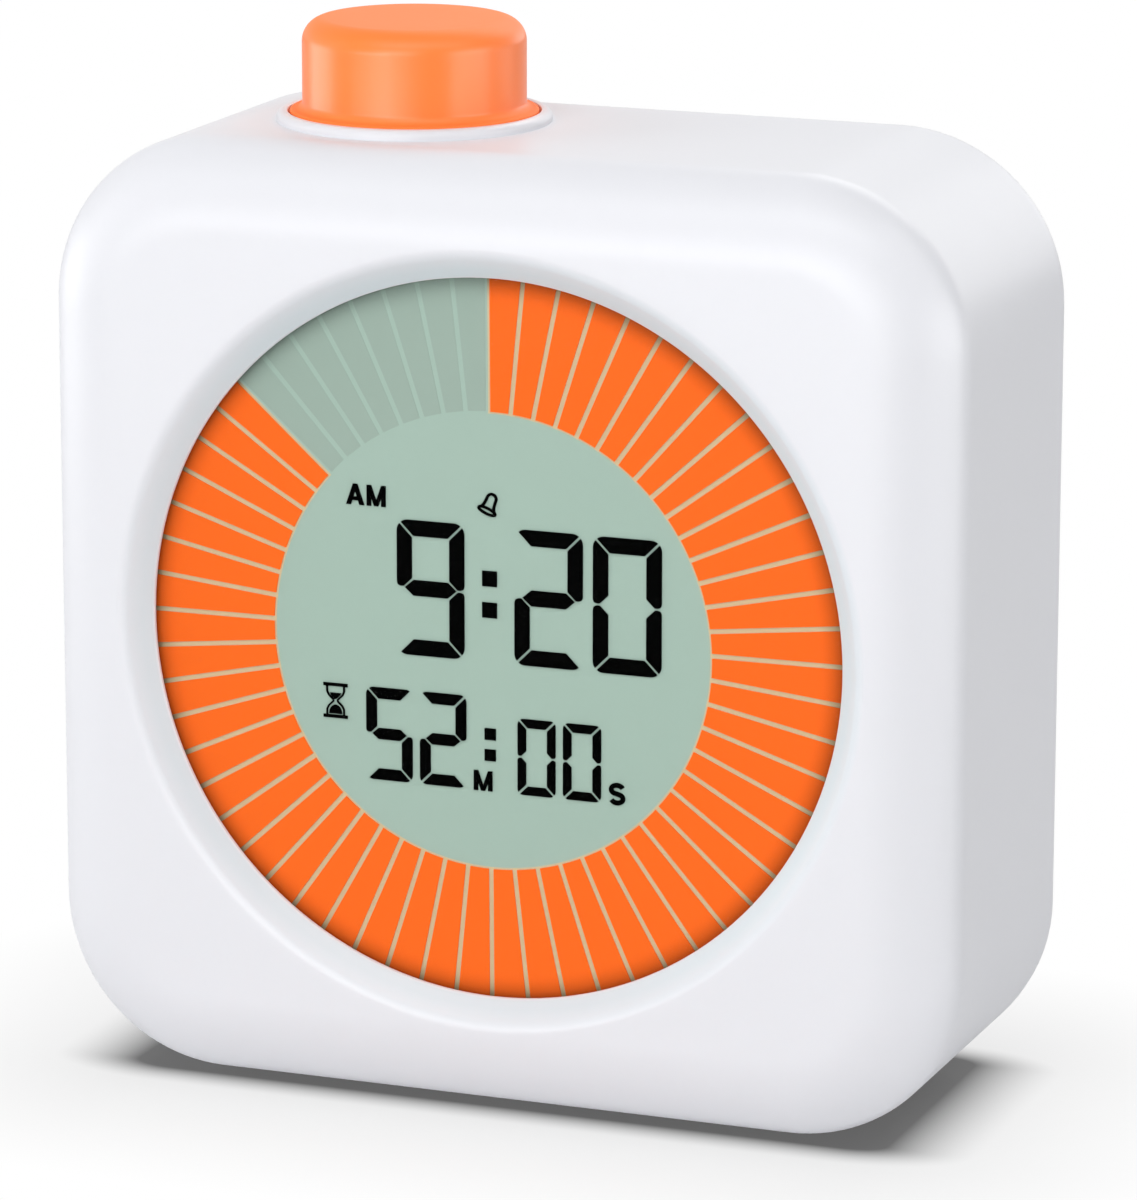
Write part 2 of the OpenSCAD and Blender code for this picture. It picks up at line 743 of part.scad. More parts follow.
module contact_strip() {
    color("dimgray") face_up() slab([strip_l, strip_t], [0, strip_y], rear_glass_d, board_d);
}

module main_board() {
    color("seagreen") face_up() difference() {
        slab([2 * board_half_w, board_top - board_bottom], [0, (board_top + board_bottom) / 2],
            board_d, board_back);
        for (sx = [-1, 1], y = board_post_y)
            disc(small_screw_r + screw_slip, [sx * board_post_x, y], board_d - 1, board_back + 1);
    }
}

module controller_blob() {
    blob_r = 6;
    blob_h = 1.4;
    color("#202020") face_up() translate([-blob_r, -blob_r, behind(board_back + blob_h)])
        cylinder(r1 = blob_r * 0.55, r2 = blob_r, h = blob_h);
}

module clock_crystal() {
    can_r = 1;
    can_l = 6;
    can_x = 8;
    can_y = -4;
    color("silver") face_up() translate([can_x, can_y, behind(board_back + can_r)])
        rotate([0, 90, 0]) cylinder(r = can_r, h = can_l);
}

module capacitors() {
    can_r = 2.5;
    can_h = 5.4;
    can_x = 8;
    can_pitch = 7;
    can_y = -14;
    color("slategray") face_up() for (x = [can_x, can_x + can_pitch])
        disc(can_r, [x, can_y], board_back, board_back + can_h);
}

module board_sockets() {
    color("ivory") face_up() for (at = [[key_socket_x, key_socket_y], [knob_x, encoder_socket_y]])
        slab([socket_w, socket_d], at, board_back, board_back + socket_h);
}

// Screw drawn point down: its head stands above z = 0, and the shank runs below
module screw(r, shank, cap_r, cap_h) {
    slot = r * 0.5;
    difference() {
        union() {
            cylinder(r = cap_r, h = cap_h);
            translate([0, 0, -shank]) cylinder(r = r, h = shank + eps);
        }
        for (turn = [0, 90]) rotate(turn) translate([-cap_r * 0.65, -slot / 2, cap_h * 0.5])
            cube([cap_r * 1.3, slot, cap_h]);
    }
}

// Screw put in from behind, with its head seated at a depth
module rear_screw(at, seat_d, r, shank, cap_r, cap_h) {
    translate([at[0], at[1], behind(seat_d)]) rotate([180, 0, 0]) screw(r, shank, cap_r, cap_h);
}

module case_screws() {
    color("silver") face_up() for (sx = [-1, 1], sy = [-1, 1])
        rear_screw([sx * screw_x, sy * screw_y], screw_seat_d, screw_r,
            screw_seat_d - screw_tip_d, head_r, head_h);
}

module tray_screws() {
    color("silver") face_up() for (sx = [-1, 1], sy = [-1, 1])
        rear_screw([sx * tray_ear_x, sy * tray_ear_y], tray_d + tray_t, small_screw_r,
            tray_d + tray_t - front_wall - 1, small_head_r, small_head_h);
}

module board_screws() {
    color("silver") face_up() for (sx = [-1, 1], y = board_post_y)
        rear_screw([sx * board_post_x, y], board_back, small_screw_r,
            board_back - tray_d - 0.6, small_head_r, small_head_h);
}

// Outline of the knob from its foot to the middle of its top
module knob() {
    edge = 0.35;
    inner_r = grip_r - knob_wall;
    roof = knob_h - knob_wall;
    color("#fd8a4c") on_knob_axis() difference() {
        rotate_extrude() polygon(concat([[0, flange_low], [flange_r, flange_low]],
            [[flange_r, flange_top - edge], [flange_r - edge, flange_top]],
            arc([grip_r + knob_fillet, flange_top + knob_fillet], knob_fillet, 180, 270, 4),
            [for (i = [0 : 8]) let (a = 90 * i / 8)
                [grip_r - knob_round + knob_round * cos(a), knob_h - knob_round + knob_round * sin(a)]],
            [[0, knob_h]]));
        rotate_extrude() polygon([[hub_r, flange_low - 1], [inner_r, flange_low - 1], [inner_r, roof - 1.2],
            [inner_r - 1.2, roof], [hub_r, roof]]);
        translate([0, 0, flange_low - 1]) cylinder(r = inner_r, h = hub_low - flange_low + 1);
        difference() {
            translate([0, 0, hub_low - 1]) cylinder(r = shaft_r + fit_gap, h = shaft_high + 0.4 - hub_low + 1);
            shaft_flat(fit_gap);
        }
    }
}

// Block beside the flat of the shaft
module shaft_flat(gap) {
    translate([shaft_r - flat_depth + gap, -shaft_r, 0]) cube([2 * shaft_r, 2 * shaft_r, knob_h]);
}

module encoder_shaft() {
    color("silver") on_knob_axis() difference() {
        translate([0, 0, shaft_low]) cylinder(r = shaft_r, h = shaft_high - shaft_low);
        shaft_flat(0);
    }
}

module knob_collar() {
    half = collar_w / 2;
    rim = collar_h - half;
    color("white") on_knob_axis() rotate_extrude() polygon(concat(
        [[collar_in, -wall], [collar_in + sleeve_t, -wall], [collar_in + sleeve_t, 0], [collar_out, 0]],
        [for (i = [0 : 8]) let (a = 180 * i / 8) [collar_in + half + half * cos(a), rim + half * sin(a)]]));
}

module encoder_bushing() {
    color("goldenrod") on_knob_axis() difference() {
        translate([0, 0, encoder_top]) cylinder(r = bushing_r, h = bushing_l);
        translate([0, 0, encoder_top - 1]) cylinder(r = shaft_r + shaft_gap, h = bushing_l + 2);
    }
}

module encoder_body() {
    color("dimgray") on_knob_axis() difference() {
        translate([-encoder_side / 2, -encoder_side / 2, encoder_low])
            cube([encoder_side, encoder_side, encoder_h]);
        translate([0, 0, encoder_low + encoder_floor])
            cylinder(r = shaft_r + move_gap, h = encoder_h);
    }
}

module encoder_plunger() {
    color("ivory") on_knob_axis() translate([0, 0, plunger_low])
        cylinder(r = shaft_r - 0.2, h = plunger_t);
}

module encoder_dome() {
    color("silver") on_knob_axis() translate([0, 0, encoder_low + encoder_floor]) {
        cylinder(r = shaft_r - 0.2, h = dome_t);
        translate([0, 0, dome_t]) cylinder(r1 = shaft_r - 0.8, r2 = 1, h = dome_rise);
    }
}

module encoder_board() {
    reach_x = encoder_post_at * cos(encoder_post_turn) + encoder_post_r;
    reach_y = encoder_post_at * sin(encoder_post_turn) + encoder_post_r;
    color("seagreen") difference() {
        on_knob_axis() translate([-reach_x, -reach_y, encoder_low - board_t])
            cube([2 * reach_x, 2 * reach_y, board_t]);
        encoder_posts(encoder_low - board_t - 1) cylinder(r = small_screw_r + screw_slip, h = board_t + 2);
    }
}

module encoder_screws() {
    color("silver") encoder_posts(encoder_low - board_t) rotate([180, 0, 0])
        screw(small_screw_r, board_t + thread_l, small_head_r, small_head_h);
}

// Flat cable in the plane of height and depth, drawn from its two edges
module flat_cable(x, width, upper, lower) {
    n = len(lower) - 1;
    translate([x + width / 2, 0, 0]) rotate([0, -90, 0]) linear_extrude(height = width)
        polygon(concat(upper, [for (i = [0 : n]) lower[n - i]]));
}

cable_w = 8;
cable_t = 0.5;

// Quarter ellipse from the main board's socket up to the encoder board
module encoder_ribbon() {
    start_z = behind(board_back + socket_h);
    end_y = case_h / 2 + encoder_low - board_t;
    drop_z = encoder_side / 6 - knob_y;
    rise = end_y - encoder_socket_y;
    run = start_z - drop_z;
    edge = function (t) [for (i = [0 : 12]) let (a = 90 * i / 12)
        [start_z - (run + t) * sin(a), encoder_socket_y - t + (rise + t) * (1 - cos(a))]];
    color("lightgray") face_up() flat_cable(knob_x, cable_w, edge(cable_t / 2), edge(-cable_t / 2));
}

// Slack wave from the main board's socket to the key board
module key_ribbon() {
    start_z = behind(board_back + socket_h);
    end_z = behind(from_rear(key_board_a + board_t));
    slack = 3;
    edge = function (t) [for (i = [0 : 16]) let (f = i / 16)
        [start_z + (end_z - start_z) * f,
            key_socket_y + (key_up - key_socket_y) * f + t - slack * sin(180 * f)]];
    color("lightgray") face_up() flat_cable(key_socket_x, cable_w, edge(cable_t / 2), edge(-cable_t / 2));
}

// Rear key: cap, retaining flange and the stem that meets its switch
module rear_key(i) {
    at = [key_x[i], key_up];
    color("lightgray") face_up() {
        disc(key_r, at, from_rear(key_flange_a + eps), case_d);
        disc(key_flange_r, at, from_rear(key_flange_a + key_flange_t), from_rear(key_flange_a));
        disc(key_stem_r, at, from_rear(key_stem_a), from_rear(key_flange_a + key_flange_t - eps));
    }
}

module mode_key() {
    rear_key(0);
}

module hour_key() {
    rear_key(1);
}

module minute_key() {
    rear_key(2);
}

module volume_slider() {
    ridge = 0.5;
    at = [slider_x, key_up];
    color("lightgray") face_up() difference() {
        union() {
            slab([2 * slider_flange, slider_body_h], at, from_rear(key_flange_a + key_flange_t),
                from_rear(key_flange_a));
            slab([slider_grip, slot_h - 2 * move_gap], at, from_rear(key_flange_a + eps), case_d);
        }
        for (i = [-1 : 1]) slab([ridge, slot_h], [slider_x + i * 2 * ridge, key_up],
            from_rear(ridge), case_d + 1);
    }
}

module volume_lever() {
    color("black") face_up() slab([lever_w, lever_w], [slider_x, key_up],
        from_rear(switch_a + actuator_h + lever_slot_d - move_gap), from_rear(key_flange_a + key_flange_t));
}

module volume_switch() {
    at = [slider_x, key_up];
    top = switch_a + actuator_h;
    color("silver") face_up() difference() {
        slab([2 * (slider_travel + lever_w / 2 + move_gap) + 3, switch_side], at,
            from_rear(key_board_a), from_rear(top));
        slab([2 * (slider_travel + lever_w / 2 + move_gap), lever_w + 2 * move_gap], at,
            from_rear(top + lever_slot_d), from_rear(top - 1));
    }
}

module key_switches() {
    color("#303030") face_up() for (x = key_x) {
        slab([switch_side, switch_side], [x, key_up], from_rear(key_board_a), from_rear(switch_a + actuator_h));
        disc(actuator_r, [x, key_up], from_rear(switch_a + actuator_h + eps), from_rear(switch_a));
    }
}

module key_board() {
    left = key_post_x[0] - post_r - 0.4;
    right = key_post_x[1] + post_r + 0.4;
    color("seagreen") face_up() difference() {
        slab([right - left, key_board_h], [(left + right) / 2, key_up],
            from_rear(key_board_a + board_t), from_rear(key_board_a));
        for (x = key_post_x) disc(small_screw_r + screw_slip, [x, key_up],
            from_rear(key_board_a + board_t + 1), from_rear(key_board_a - 1));
    }
}

module key_screws() {
    color("silver") face_up() for (x = key_post_x)
        translate([x, key_up, behind(from_rear(key_board_a + board_t))])
            screw(small_screw_r, board_t + thread_l, small_head_r, small_head_h);
}

module sounder() {
    color("#303030") face_up() {
        disc(sounder_r, [sounder_x, sounder_up], from_rear(wall + sounder_t - sounder_step), from_rear(wall));
        disc(sounder_r * 0.5, [sounder_x, sounder_up], from_rear(wall + sounder_t),
            from_rear(wall + sounder_t - sounder_step - eps));
    }
}

module sounder_leads() {
    lead_r = 0.5;
    color("firebrick") face_up() for (x = [-3 * lead_r, 3 * lead_r])
        disc(lead_r, [sounder_x + x, lead_y], from_rear(key_board_a),
            from_rear(wall + sounder_t - sounder_step));
}

// Section of the door: a plate whose lower edge is rounded about the axis it swings on
module door_section() {
    back = behind(case_d);
    translate([back, hinge_y]) square([door_t, bay_y + door_half_y - hinge_y]);
    intersection() {
        translate([back + door_t / 2, hinge_y]) circle(r = door_t / 2);
        translate([back, hinge_y - door_t]) square([door_t, door_t]);
    }
}

// Door flush with the back: plate, grip grooves and two hooks that keep it in the case
module battery_door() {
    color("white") face_up() {
        difference() {
            translate([door_half_x, 0, 0]) rotate([0, -90, 0])
                linear_extrude(height = 2 * door_half_x) door_section();
            for (i = [0 : door_grooves - 1])
                slab([finger_r * 2, 0.7], [0, bay_y + door_half_y - 2.5 - 1.6 * i], from_rear(0.4), case_d + 1);
        }
        for (sx = [-1, 1]) {
            slab([hook_w, hook_drop + hook_neck], [sx * hook_x, door_low + (hook_neck - hook_drop) / 2],
                from_rear(hook_a + hook_t), from_rear(hook_a));
            slab([hook_w, hook_neck - door_t / 2], [sx * hook_x, hinge_y + hook_neck / 2 - door_t / 4],
                from_rear(hook_a + eps), from_rear(door_t - eps));
        }
    }
}

// Cells lie across the bay, turned about alternately
module each_cell() {
    for (i = [0 : cells - 1]) {
        way = i % 2 == 0 ? 1 : -1;
        translate([0, bay_y + (i - (cells - 1) / 2) * cell_pitch, behind(from_rear(cell_a))])
            rotate([0, 0, way > 0 ? 0 : 180]) translate([bay_half_x - contact_t, 0, 0]) children();
    }
}

module battery_cells() {
    color("#b9bbbd") face_up() each_cell() {
        translate([-cell_len, 0, 0]) rotate([0, 90, 0]) cylinder(r = cell_r, h = cell_len - nub_h);
        translate([-nub_h - eps, 0, 0]) rotate([0, 90, 0]) cylinder(r = nub_r, h = nub_h + eps);
    }
}

contact_side = 8;

module battery_plates() {
    color("silver") face_up() each_cell() translate([0, -contact_side / 2, -contact_side / 2])
        cube([contact_t, contact_side, contact_side]);
}

// Bowed leaf against the flat end of each cell
module battery_springs() {
    half = contact_side / 2;
    tip = spring_len - contact_t;
    color("silver") face_up() each_cell() translate([-cell_len - spring_len, -half / 2, 0])
        rotate([90, 0, 0]) translate([0, 0, -half]) linear_extrude(height = half) {
            translate([0, -half]) square([contact_t, contact_side]);
            difference() {
                polygon([[contact_t, -half + 0.4], [tip + contact_t, -1], [tip + contact_t, 1],
                    [contact_t, half - 0.4]]);
                polygon([[contact_t - eps, -half + 1], [tip, -0.8], [tip, 0.8], [contact_t - eps, half - 1]]);
            }
        }
}

module battery_leads() {
    lead_r = 0.6;
    lead_side = 2;
    low = bay_y + bay_half_y + bay_wall;
    high = key_up - key_board_h / 2;
    color("firebrick") face_up() for (sx = [-1, 1])
        translate([sx * (bay_half_x - lead_side), low, behind(from_rear(key_board_a + board_t / 2))])
            rotate([-90, 0, 0]) cylinder(r = lead_r, h = high - low);
}

module rubber_feet() {
    edge = 0.5;
    color("#808080") for (sx = [-1, 1], sy = [-1, 1]) translate([sx * foot_x, sy * foot_y, 0]) {
        cylinder(r1 = foot_r - edge, r2 = foot_r, h = edge);
        translate([0, 0, edge]) cylinder(r = foot_r, h = foot_h + foot_pocket - edge);
    }
}

front_cover();
rear_case();
dial_lens();
display_film();
front_glass();
rear_glass();
reflector_sheet();
lit_segments();
unlit_segments();
clock_digits();
minute_digits();
second_digits();
display_tray();
contact_strip();
main_board();
controller_blob();
clock_crystal();
capacitors();
board_sockets();
tray_screws();
board_screws();
knob();
knob_collar();
encoder_shaft();
encoder_bushing();
encoder_body();
encoder_plunger();
encoder_dome();
encoder_board();
encoder_screws();
encoder_ribbon();
mode_key();
hour_key();
minute_key();
volume_slider();
volume_lever();
volume_switch();
key_switches();
key_board();
key_screws();
key_ribbon();
sounder();
sounder_leads();
battery_door();
battery_cells();
battery_plates();
battery_springs();
battery_leads();
rubber_feet();
case_screws();
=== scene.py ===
# %% [markdown]
# # A countdown timer clock
# The object is a white plastic clock with rounded corners, a round display dial and an orange
# knob on its top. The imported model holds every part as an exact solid. This lesson keeps the
# solids that are right as they are, draws smoother surfaces for the parts that the eye rests on,
# and then paints and lights the whole.

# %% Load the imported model
import math

import bmesh
import bpy
import numpy as np
from mathutils import Matrix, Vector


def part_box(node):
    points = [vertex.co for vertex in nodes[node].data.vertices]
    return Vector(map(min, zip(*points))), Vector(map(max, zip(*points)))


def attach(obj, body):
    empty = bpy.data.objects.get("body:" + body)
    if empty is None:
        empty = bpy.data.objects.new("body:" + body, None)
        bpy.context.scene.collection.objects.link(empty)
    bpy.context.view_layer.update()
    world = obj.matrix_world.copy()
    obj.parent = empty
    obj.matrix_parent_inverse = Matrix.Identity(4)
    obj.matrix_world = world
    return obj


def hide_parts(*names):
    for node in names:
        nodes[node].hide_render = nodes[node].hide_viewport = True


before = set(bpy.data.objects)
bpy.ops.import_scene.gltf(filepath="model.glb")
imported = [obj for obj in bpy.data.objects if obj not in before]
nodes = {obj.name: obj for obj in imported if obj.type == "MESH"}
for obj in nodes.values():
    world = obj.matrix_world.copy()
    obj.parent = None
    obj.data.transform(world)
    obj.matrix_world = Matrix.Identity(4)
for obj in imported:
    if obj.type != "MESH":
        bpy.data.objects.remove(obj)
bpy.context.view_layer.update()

# %% [markdown]
# ## Measures
# Blender works in metres, and a clock is measured in millimetres. All the sizes below are
# millimetres, and a mesh is scaled once, when its points are put in. The main sizes are read from
# the solids, so that a new surface can't drift away from the part it covers.

# %% Read the main sizes
MM = 0.001


def solid_box(node):
    """The lowest and highest corner of a solid, in millimetres."""
    low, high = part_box(node)
    return np.array(low) / MM, np.array(high) / MM


rear_low, rear_high = solid_box("rear_case")
CASE_W = rear_high[0] - rear_low[0]
CASE_H = rear_high[2] - rear_low[2]
CASE_MID = (rear_high[2] + rear_low[2]) / 2
CASE_TOP = rear_high[2]
FRONT_Y = solid_box("front_cover")[0][1]
PARTING_D = rear_low[1] - FRONT_Y
print(f"case {CASE_W:.1f} x {CASE_H:.1f}, top at {CASE_TOP:.1f},",
      f"parting line {PARTING_D:.2f} behind the front")

# %% [markdown]
# ## Camera
# The photograph was taken with a long lens from a little to the right and above. A long lens far
# away keeps the two sides of the case almost parallel. The camera looks past the middle of the
# front face, and is slid sideways and up, so that no lens shift is needed.

# %% Point the camera
SENSOR_W, NEAREST = 36, 0.01


def show(name, data):
    """A new object in the scene, at the origin and unturned."""
    shown = bpy.data.objects.new(name, data)
    bpy.context.scene.collection.objects.link(shown)
    return shown


def facing(back, roll=0.0):
    """Right, up and back of a thing that looks against back: level, then rolled by an angle."""
    back = np.array(back) / np.linalg.norm(back)
    level = np.cross([0, 0, 1], back)
    level = level / np.linalg.norm(level)
    above = np.cross(back, level)
    right = level * np.cos(roll) + above * np.sin(roll)
    return right, above * np.cos(roll) - level * np.sin(roll), back


def put_at(thing, place, axes):
    """Moves a camera or lamp to a place in metres and turns it to its three axes."""
    turn = Matrix(np.column_stack(axes).tolist()).to_4x4()
    thing.matrix_world = Matrix.Translation(place) @ turn


def point_camera(azimuth, elevation, roll, slide, rise, distance, lens):
    """Camera at the front's middle plus distance along the view, then slid right and up."""
    a, e, r = np.radians([azimuth, elevation, roll])
    axes = facing([np.sin(a) * np.cos(e), -np.cos(a) * np.cos(e), np.sin(e)], r)
    place = np.array([0, FRONT_Y, CASE_MID]) + np.array([slide, rise, distance]) @ axes
    camera = show("camera", bpy.data.cameras.new("camera"))
    camera.data.lens = lens
    camera.data.sensor_width = SENSOR_W
    camera.data.clip_start = NEAREST
    put_at(camera, (place * MM).tolist(), axes)
    bpy.context.scene.camera = camera
    return camera


camera = point_camera(azimuth=21.049, elevation=13.462, roll=0.078, slide=8.117, rise=4.403,
                      distance=620.402, lens=197.58)
print("camera at", tuple(round(v, 4) for v in camera.location))

# %% [markdown]
# ## Finishes as arithmetic
# A finish is a small calculation: a pattern gives a number at each point of the surface, and the
# number decides the colour, the roughness or a tiny bump. Placing nodes by hand hides that, so a
# small class wraps one output socket. Adding or multiplying two wires adds the Math node that
# does it, and one method makes every other node.

# %% A wire that can be calculated with
def arithmetic(operation, swapped=False):
    """A method that adds one Math node, whose two terms change places if asked."""
    def method(self, other):
        return self.math(operation, *((other, self) if swapped else (self, other)))
    return method


class Wire:
    """One output of a shader tree, on which arithmetic adds Math nodes."""

    def __init__(self, tree, socket=None):
        self.tree = tree
        self.socket = socket

    def make(self, kind, sockets=None, output=0, **settings):
        """Adds a node: its settings are set first, then the values or wires of its sockets."""
        node = self.tree.nodes.new(kind)
        for name, value in settings.items():
            setattr(node, name, value)
        for name, value in (sockets or {}).items():
            if isinstance(value, Wire):
                self.tree.links.new(value.socket, node.inputs[name])
            else:
                node.inputs[name].default_value = value
        return Wire(self.tree, node.outputs[output])

    def math(self, operation, first, second=0.0):
        """One Math node on one or two terms."""
        return self.make("ShaderNodeMath", {0: first, 1: second}, operation=operation)

    __add__, __radd__ = arithmetic("ADD"), arithmetic("ADD", swapped=True)
    __sub__, __rsub__ = arithmetic("SUBTRACT"), arithmetic("SUBTRACT", swapped=True)
    __mul__, __rmul__ = arithmetic("MULTIPLY"), arithmetic("MULTIPLY", swapped=True)
    __truediv__ = arithmetic("DIVIDE")
    __gt__, __lt__ = arithmetic("GREATER_THAN"), arithmetic("LESS_THAN")


BLACK, PURE_WHITE = (0, 0, 0, 1), (1, 1, 1, 1)


def mixed(amount, first, second):
    """The first colour where amount is 0 and the second where it is 1."""
    return amount.make("ShaderNodeMix", {0: amount, 6: first, 7: second}, 2, data_type="RGBA")


def colour(red, green, blue):
    """A colour from its screen values, as the linear numbers that light is calculated with."""
    c = np.array([red, green, blue]) / 255
    linear = np.where(c <= 0.04045, c / 12.92, ((c + 0.055) / 1.055) ** 2.4)
    return (*linear.tolist(), 1.0)


print("finishes are written with", Wire.__name__)

# %% [markdown]
# ## A finish to build on
# Moulded plastic, paint and metal share one recipe. A broad noise lets the colour drift by a few
# parts in a hundred, and a fine noise moves the roughness and makes the grain that a mould
# leaves. What is the same all over the surface is set on the shader itself.

# %% Start a finish
finishes = {}


def shade(name, roughness, metallic=0.0, **constants):
    """Keeps a new finish by name; gives its Principled shader and a wire of Object coordinates."""
    material = finishes[name] = bpy.data.materials.new(name)
    material.use_nodes = True
    tree = material.node_tree
    shader = tree.nodes["Principled BSDF"]
    shader.inputs["Roughness"].default_value = roughness
    shader.inputs["Metallic"].default_value = metallic
    for socket, value in constants.items():
        shader.inputs[socket.replace("_", " ")].default_value = value
    return shader, Wire(tree).make("ShaderNodeTexCoord", output="Object")


def noise(place, size, detail=2.0):
    """Noise whose blotches are about size millimetres across."""
    sockets = {"Vector": place, "Scale": 1 / (size * MM), "Detail": detail}
    return place.make("ShaderNodeTexNoise", sockets)


def feed(wire, shader, socket):
    """Links a wire to one socket of a shader."""
    wire.tree.links.new(wire.socket, shader.inputs[socket])


def coat(shader, tint, rough):
    """Feeds a colour and a roughness that change over the surface."""
    feed(tint, shader, "Base Color")
    feed(rough, shader, "Roughness")


def tinted(shade_of, share):
    """A colour made darker or lighter by a share."""
    return (*[min(1.0, c * share) for c in shade_of[:3]], 1.0)


def drifting(pattern, base, drift):
    """A colour times 1 - drift where the pattern is 0, up to 1 + drift where it is 1."""
    return mixed(pattern, tinted(base, 1 - drift), tinted(base, 1 + drift))


def raise_grain(height, shader, strength, depth):
    """Tilts the normal as if the pattern were a relief of some millimetres."""
    sockets = {"Strength": strength, "Distance": depth * MM, "Height": height}
    feed(height.make("ShaderNodeBump", sockets), shader, "Normal")


BLOTCH = 18


def grained(name, base, roughness, drift=0.03, grain=0.4, bump=0.01, spread=0.1, **constants):
    """Colour that drifts, roughness plus or minus spread / 2, and bumps of grain millimetres."""
    shader, place = shade(name, roughness, **constants)
    fine = noise(place, grain, 3.0)
    drifted = drifting(noise(place, BLOTCH), base, drift)
    coat(shader, drifted, roughness + (fine - 0.5) * spread)
    raise_grain(fine, shader, 0.35, bump)


print("finishes start from", len(bpy.data.materials), "materials of the solids")

# %% [markdown]
# ## White case and orange knob
# The case is white plastic with a satin skin, bright but not glossy. The knob is of a fluorescent
# orange, which gives back a little more red light than it gets, so the shader adds a faint painted
# glow that keeps its shaded side bright. Its sides are smooth, and its top and the flange at its
# foot are dull, and the flange is painted a slightly deeper orange as shade inside the collar.

# %% Knob finish
def part_of(place, axis):
    """One coordinate of a place, in metres."""
    return place.make("ShaderNodeSeparateXYZ", {"Vector": place}, axis)


def ramp(value, start, stop):
    """0 below start, 1 above stop and a straight slope between, in millimetres."""
    sockets = {"Value": value, "From Min": start * MM, "From Max": stop * MM}
    return value.make("ShaderNodeMapRange", sockets)


ORANGE = colour(253, 127, 50)
# The flange's deeper orange is painted shade inside the collar; PAINTED_GLOW is the colour of a
# painted glow.
FLANGE_SHADE_ORANGE = colour(248, 126, 54)
PAINTED_GLOW = (1.0, 0.16, 0.02, 1.0)
SIDE_ROUGH, TOP_ROUGHER, FLANGE_ROUGHER = 0.27, 0.26, 0.4


def knob_finish(top, rim):
    """Orange with a painted glow, duller towards the top, and below the rim dull with a deeper
    orange of painted shade.
    """
    # The emission is a painted glow: the knob is no lamp.
    glow = dict(Emission_Color=PAINTED_GLOW, Emission_Strength=0.15)
    shader, place = shade("knob_plastic", 0.3, **glow)
    fine, height = noise(place, 0.3, 3.0), part_of(place, "Z")
    flange = 1 - ramp(height, rim, rim + 0.6)
    crown = ramp(height, top - 2, top - 0.2)
    plain = drifting(noise(place, BLOTCH), ORANGE, 0.015)
    rough = SIDE_ROUGH + fine * 0.05 + crown * TOP_ROUGHER + flange * FLANGE_ROUGHER
    coat(shader, mixed(flange, plain, FLANGE_SHADE_ORANGE), rough)
    raise_grain(fine, shader, 0.3, 0.002)


FLANGE_RIM = 1.2
knob_finish(solid_box("knob")[1][2], CASE_TOP + FLANGE_RIM)
print("made", *finishes)

# %% Plastics
WHITE = colour(231, 232, 237)
SATIN = dict(roughness=0.38, drift=0.006, grain=0.35, bump=0.004)
grained("case_plastic", WHITE, **SATIN)
grained("key_plastic", colour(203, 205, 208), 0.45, drift=0.02, grain=0.3)
grained("inner_plastic", colour(214, 214, 212), 0.5, drift=0.03)
grained("socket_plastic", colour(236, 231, 212), 0.45)
grained("black_plastic", colour(38, 38, 40), 0.5, drift=0.1)
grained("foot_rubber", colour(128, 128, 130), 0.75, drift=0.12, grain=0.5, bump=0.03)
grained("white_sheet", colour(240, 240, 240), 0.6)
print("made", *finishes)

# %% [markdown]
# ## Metals
# Small metal parts show fine lines from turning or drawing. A noise that is stretched along one
# direction makes such lines, and they act on the roughness more than on the colour.

# %% Metals
def drawn_metal(name, base, roughness, stretch):
    """Lines of 0.15 mm, drawn out along the axis whose stretch is small."""
    shader, place = shade(name, roughness, metallic=1.0)
    pulled = place.make("ShaderNodeMapping", {"Vector": place, "Scale": stretch})
    lines = noise(pulled, 0.15, 2.0)
    tint = mixed(lines, tinted(base, 0.9), tinted(base, 1.08))
    coat(shader, tint, roughness - 0.1 + lines * 0.2)


drawn_metal("screw_steel", colour(196, 198, 202), 0.32, (1, 0.08, 1))
drawn_metal("shaft_metal", colour(205, 206, 208), 0.28, (0.08, 0.08, 1))
drawn_metal("bushing_brass", colour(205, 172, 92), 0.3, (0.08, 0.08, 1))
drawn_metal("contact_metal", colour(206, 204, 200), 0.3, (1, 1, 0.08))
drawn_metal("capacitor_can", colour(70, 82, 112), 0.4, (1, 0.1, 1))
print(len(finishes), "finishes with the metals")

# %% [markdown]
# ## Boards, wires and cells
# Most of these parts are hidden, but the cells show when the battery door is open, and a part
# that is taken out of its case should still look like itself. The boards carry fine copper tracks
# under green mask, the flat cables have stripes, and each cell has a sleeve with a coloured end.

# %% Striped finishes
FAR_LEFT = 100.0


def striped(name, base, line, pitch, share, roughness):
    """Bands along X, counted from far left: the line colour up to a share of each pitch."""
    shader, place = shade(name, roughness)
    along = part_of(place, "X")
    turn = along.math("FRACT", along / (pitch * MM) + FAR_LEFT)
    grain = noise(place, 0.6)
    tint = mixed((turn < share) * (0.75 + grain * 0.25), base, line)
    coat(shader, tint, roughness - 0.05 + grain * 0.1)


MASK_GREEN, TRACK_GREEN = colour(40, 104, 62), colour(74, 134, 84)
striped("circuit_board", MASK_GREEN, TRACK_GREEN, 1.27, 0.3, 0.4)
PALE_GREY, MID_GREY = colour(190, 190, 188), colour(160, 160, 160)
striped("ribbon_plastic", PALE_GREY, MID_GREY, 1.0, 0.3, 0.5)
striped("soft_rubber", colour(96, 96, 98), colour(40, 40, 42), 0.5, 0.5, 0.7)
grained("wire_plastic", colour(158, 44, 36), 0.45, drift=0.08)
print(len(finishes), "finishes with the striped ones")

# %% Cells
BAND_START, BAND_END, CAP_START = 8.0, 21.0, 21.3


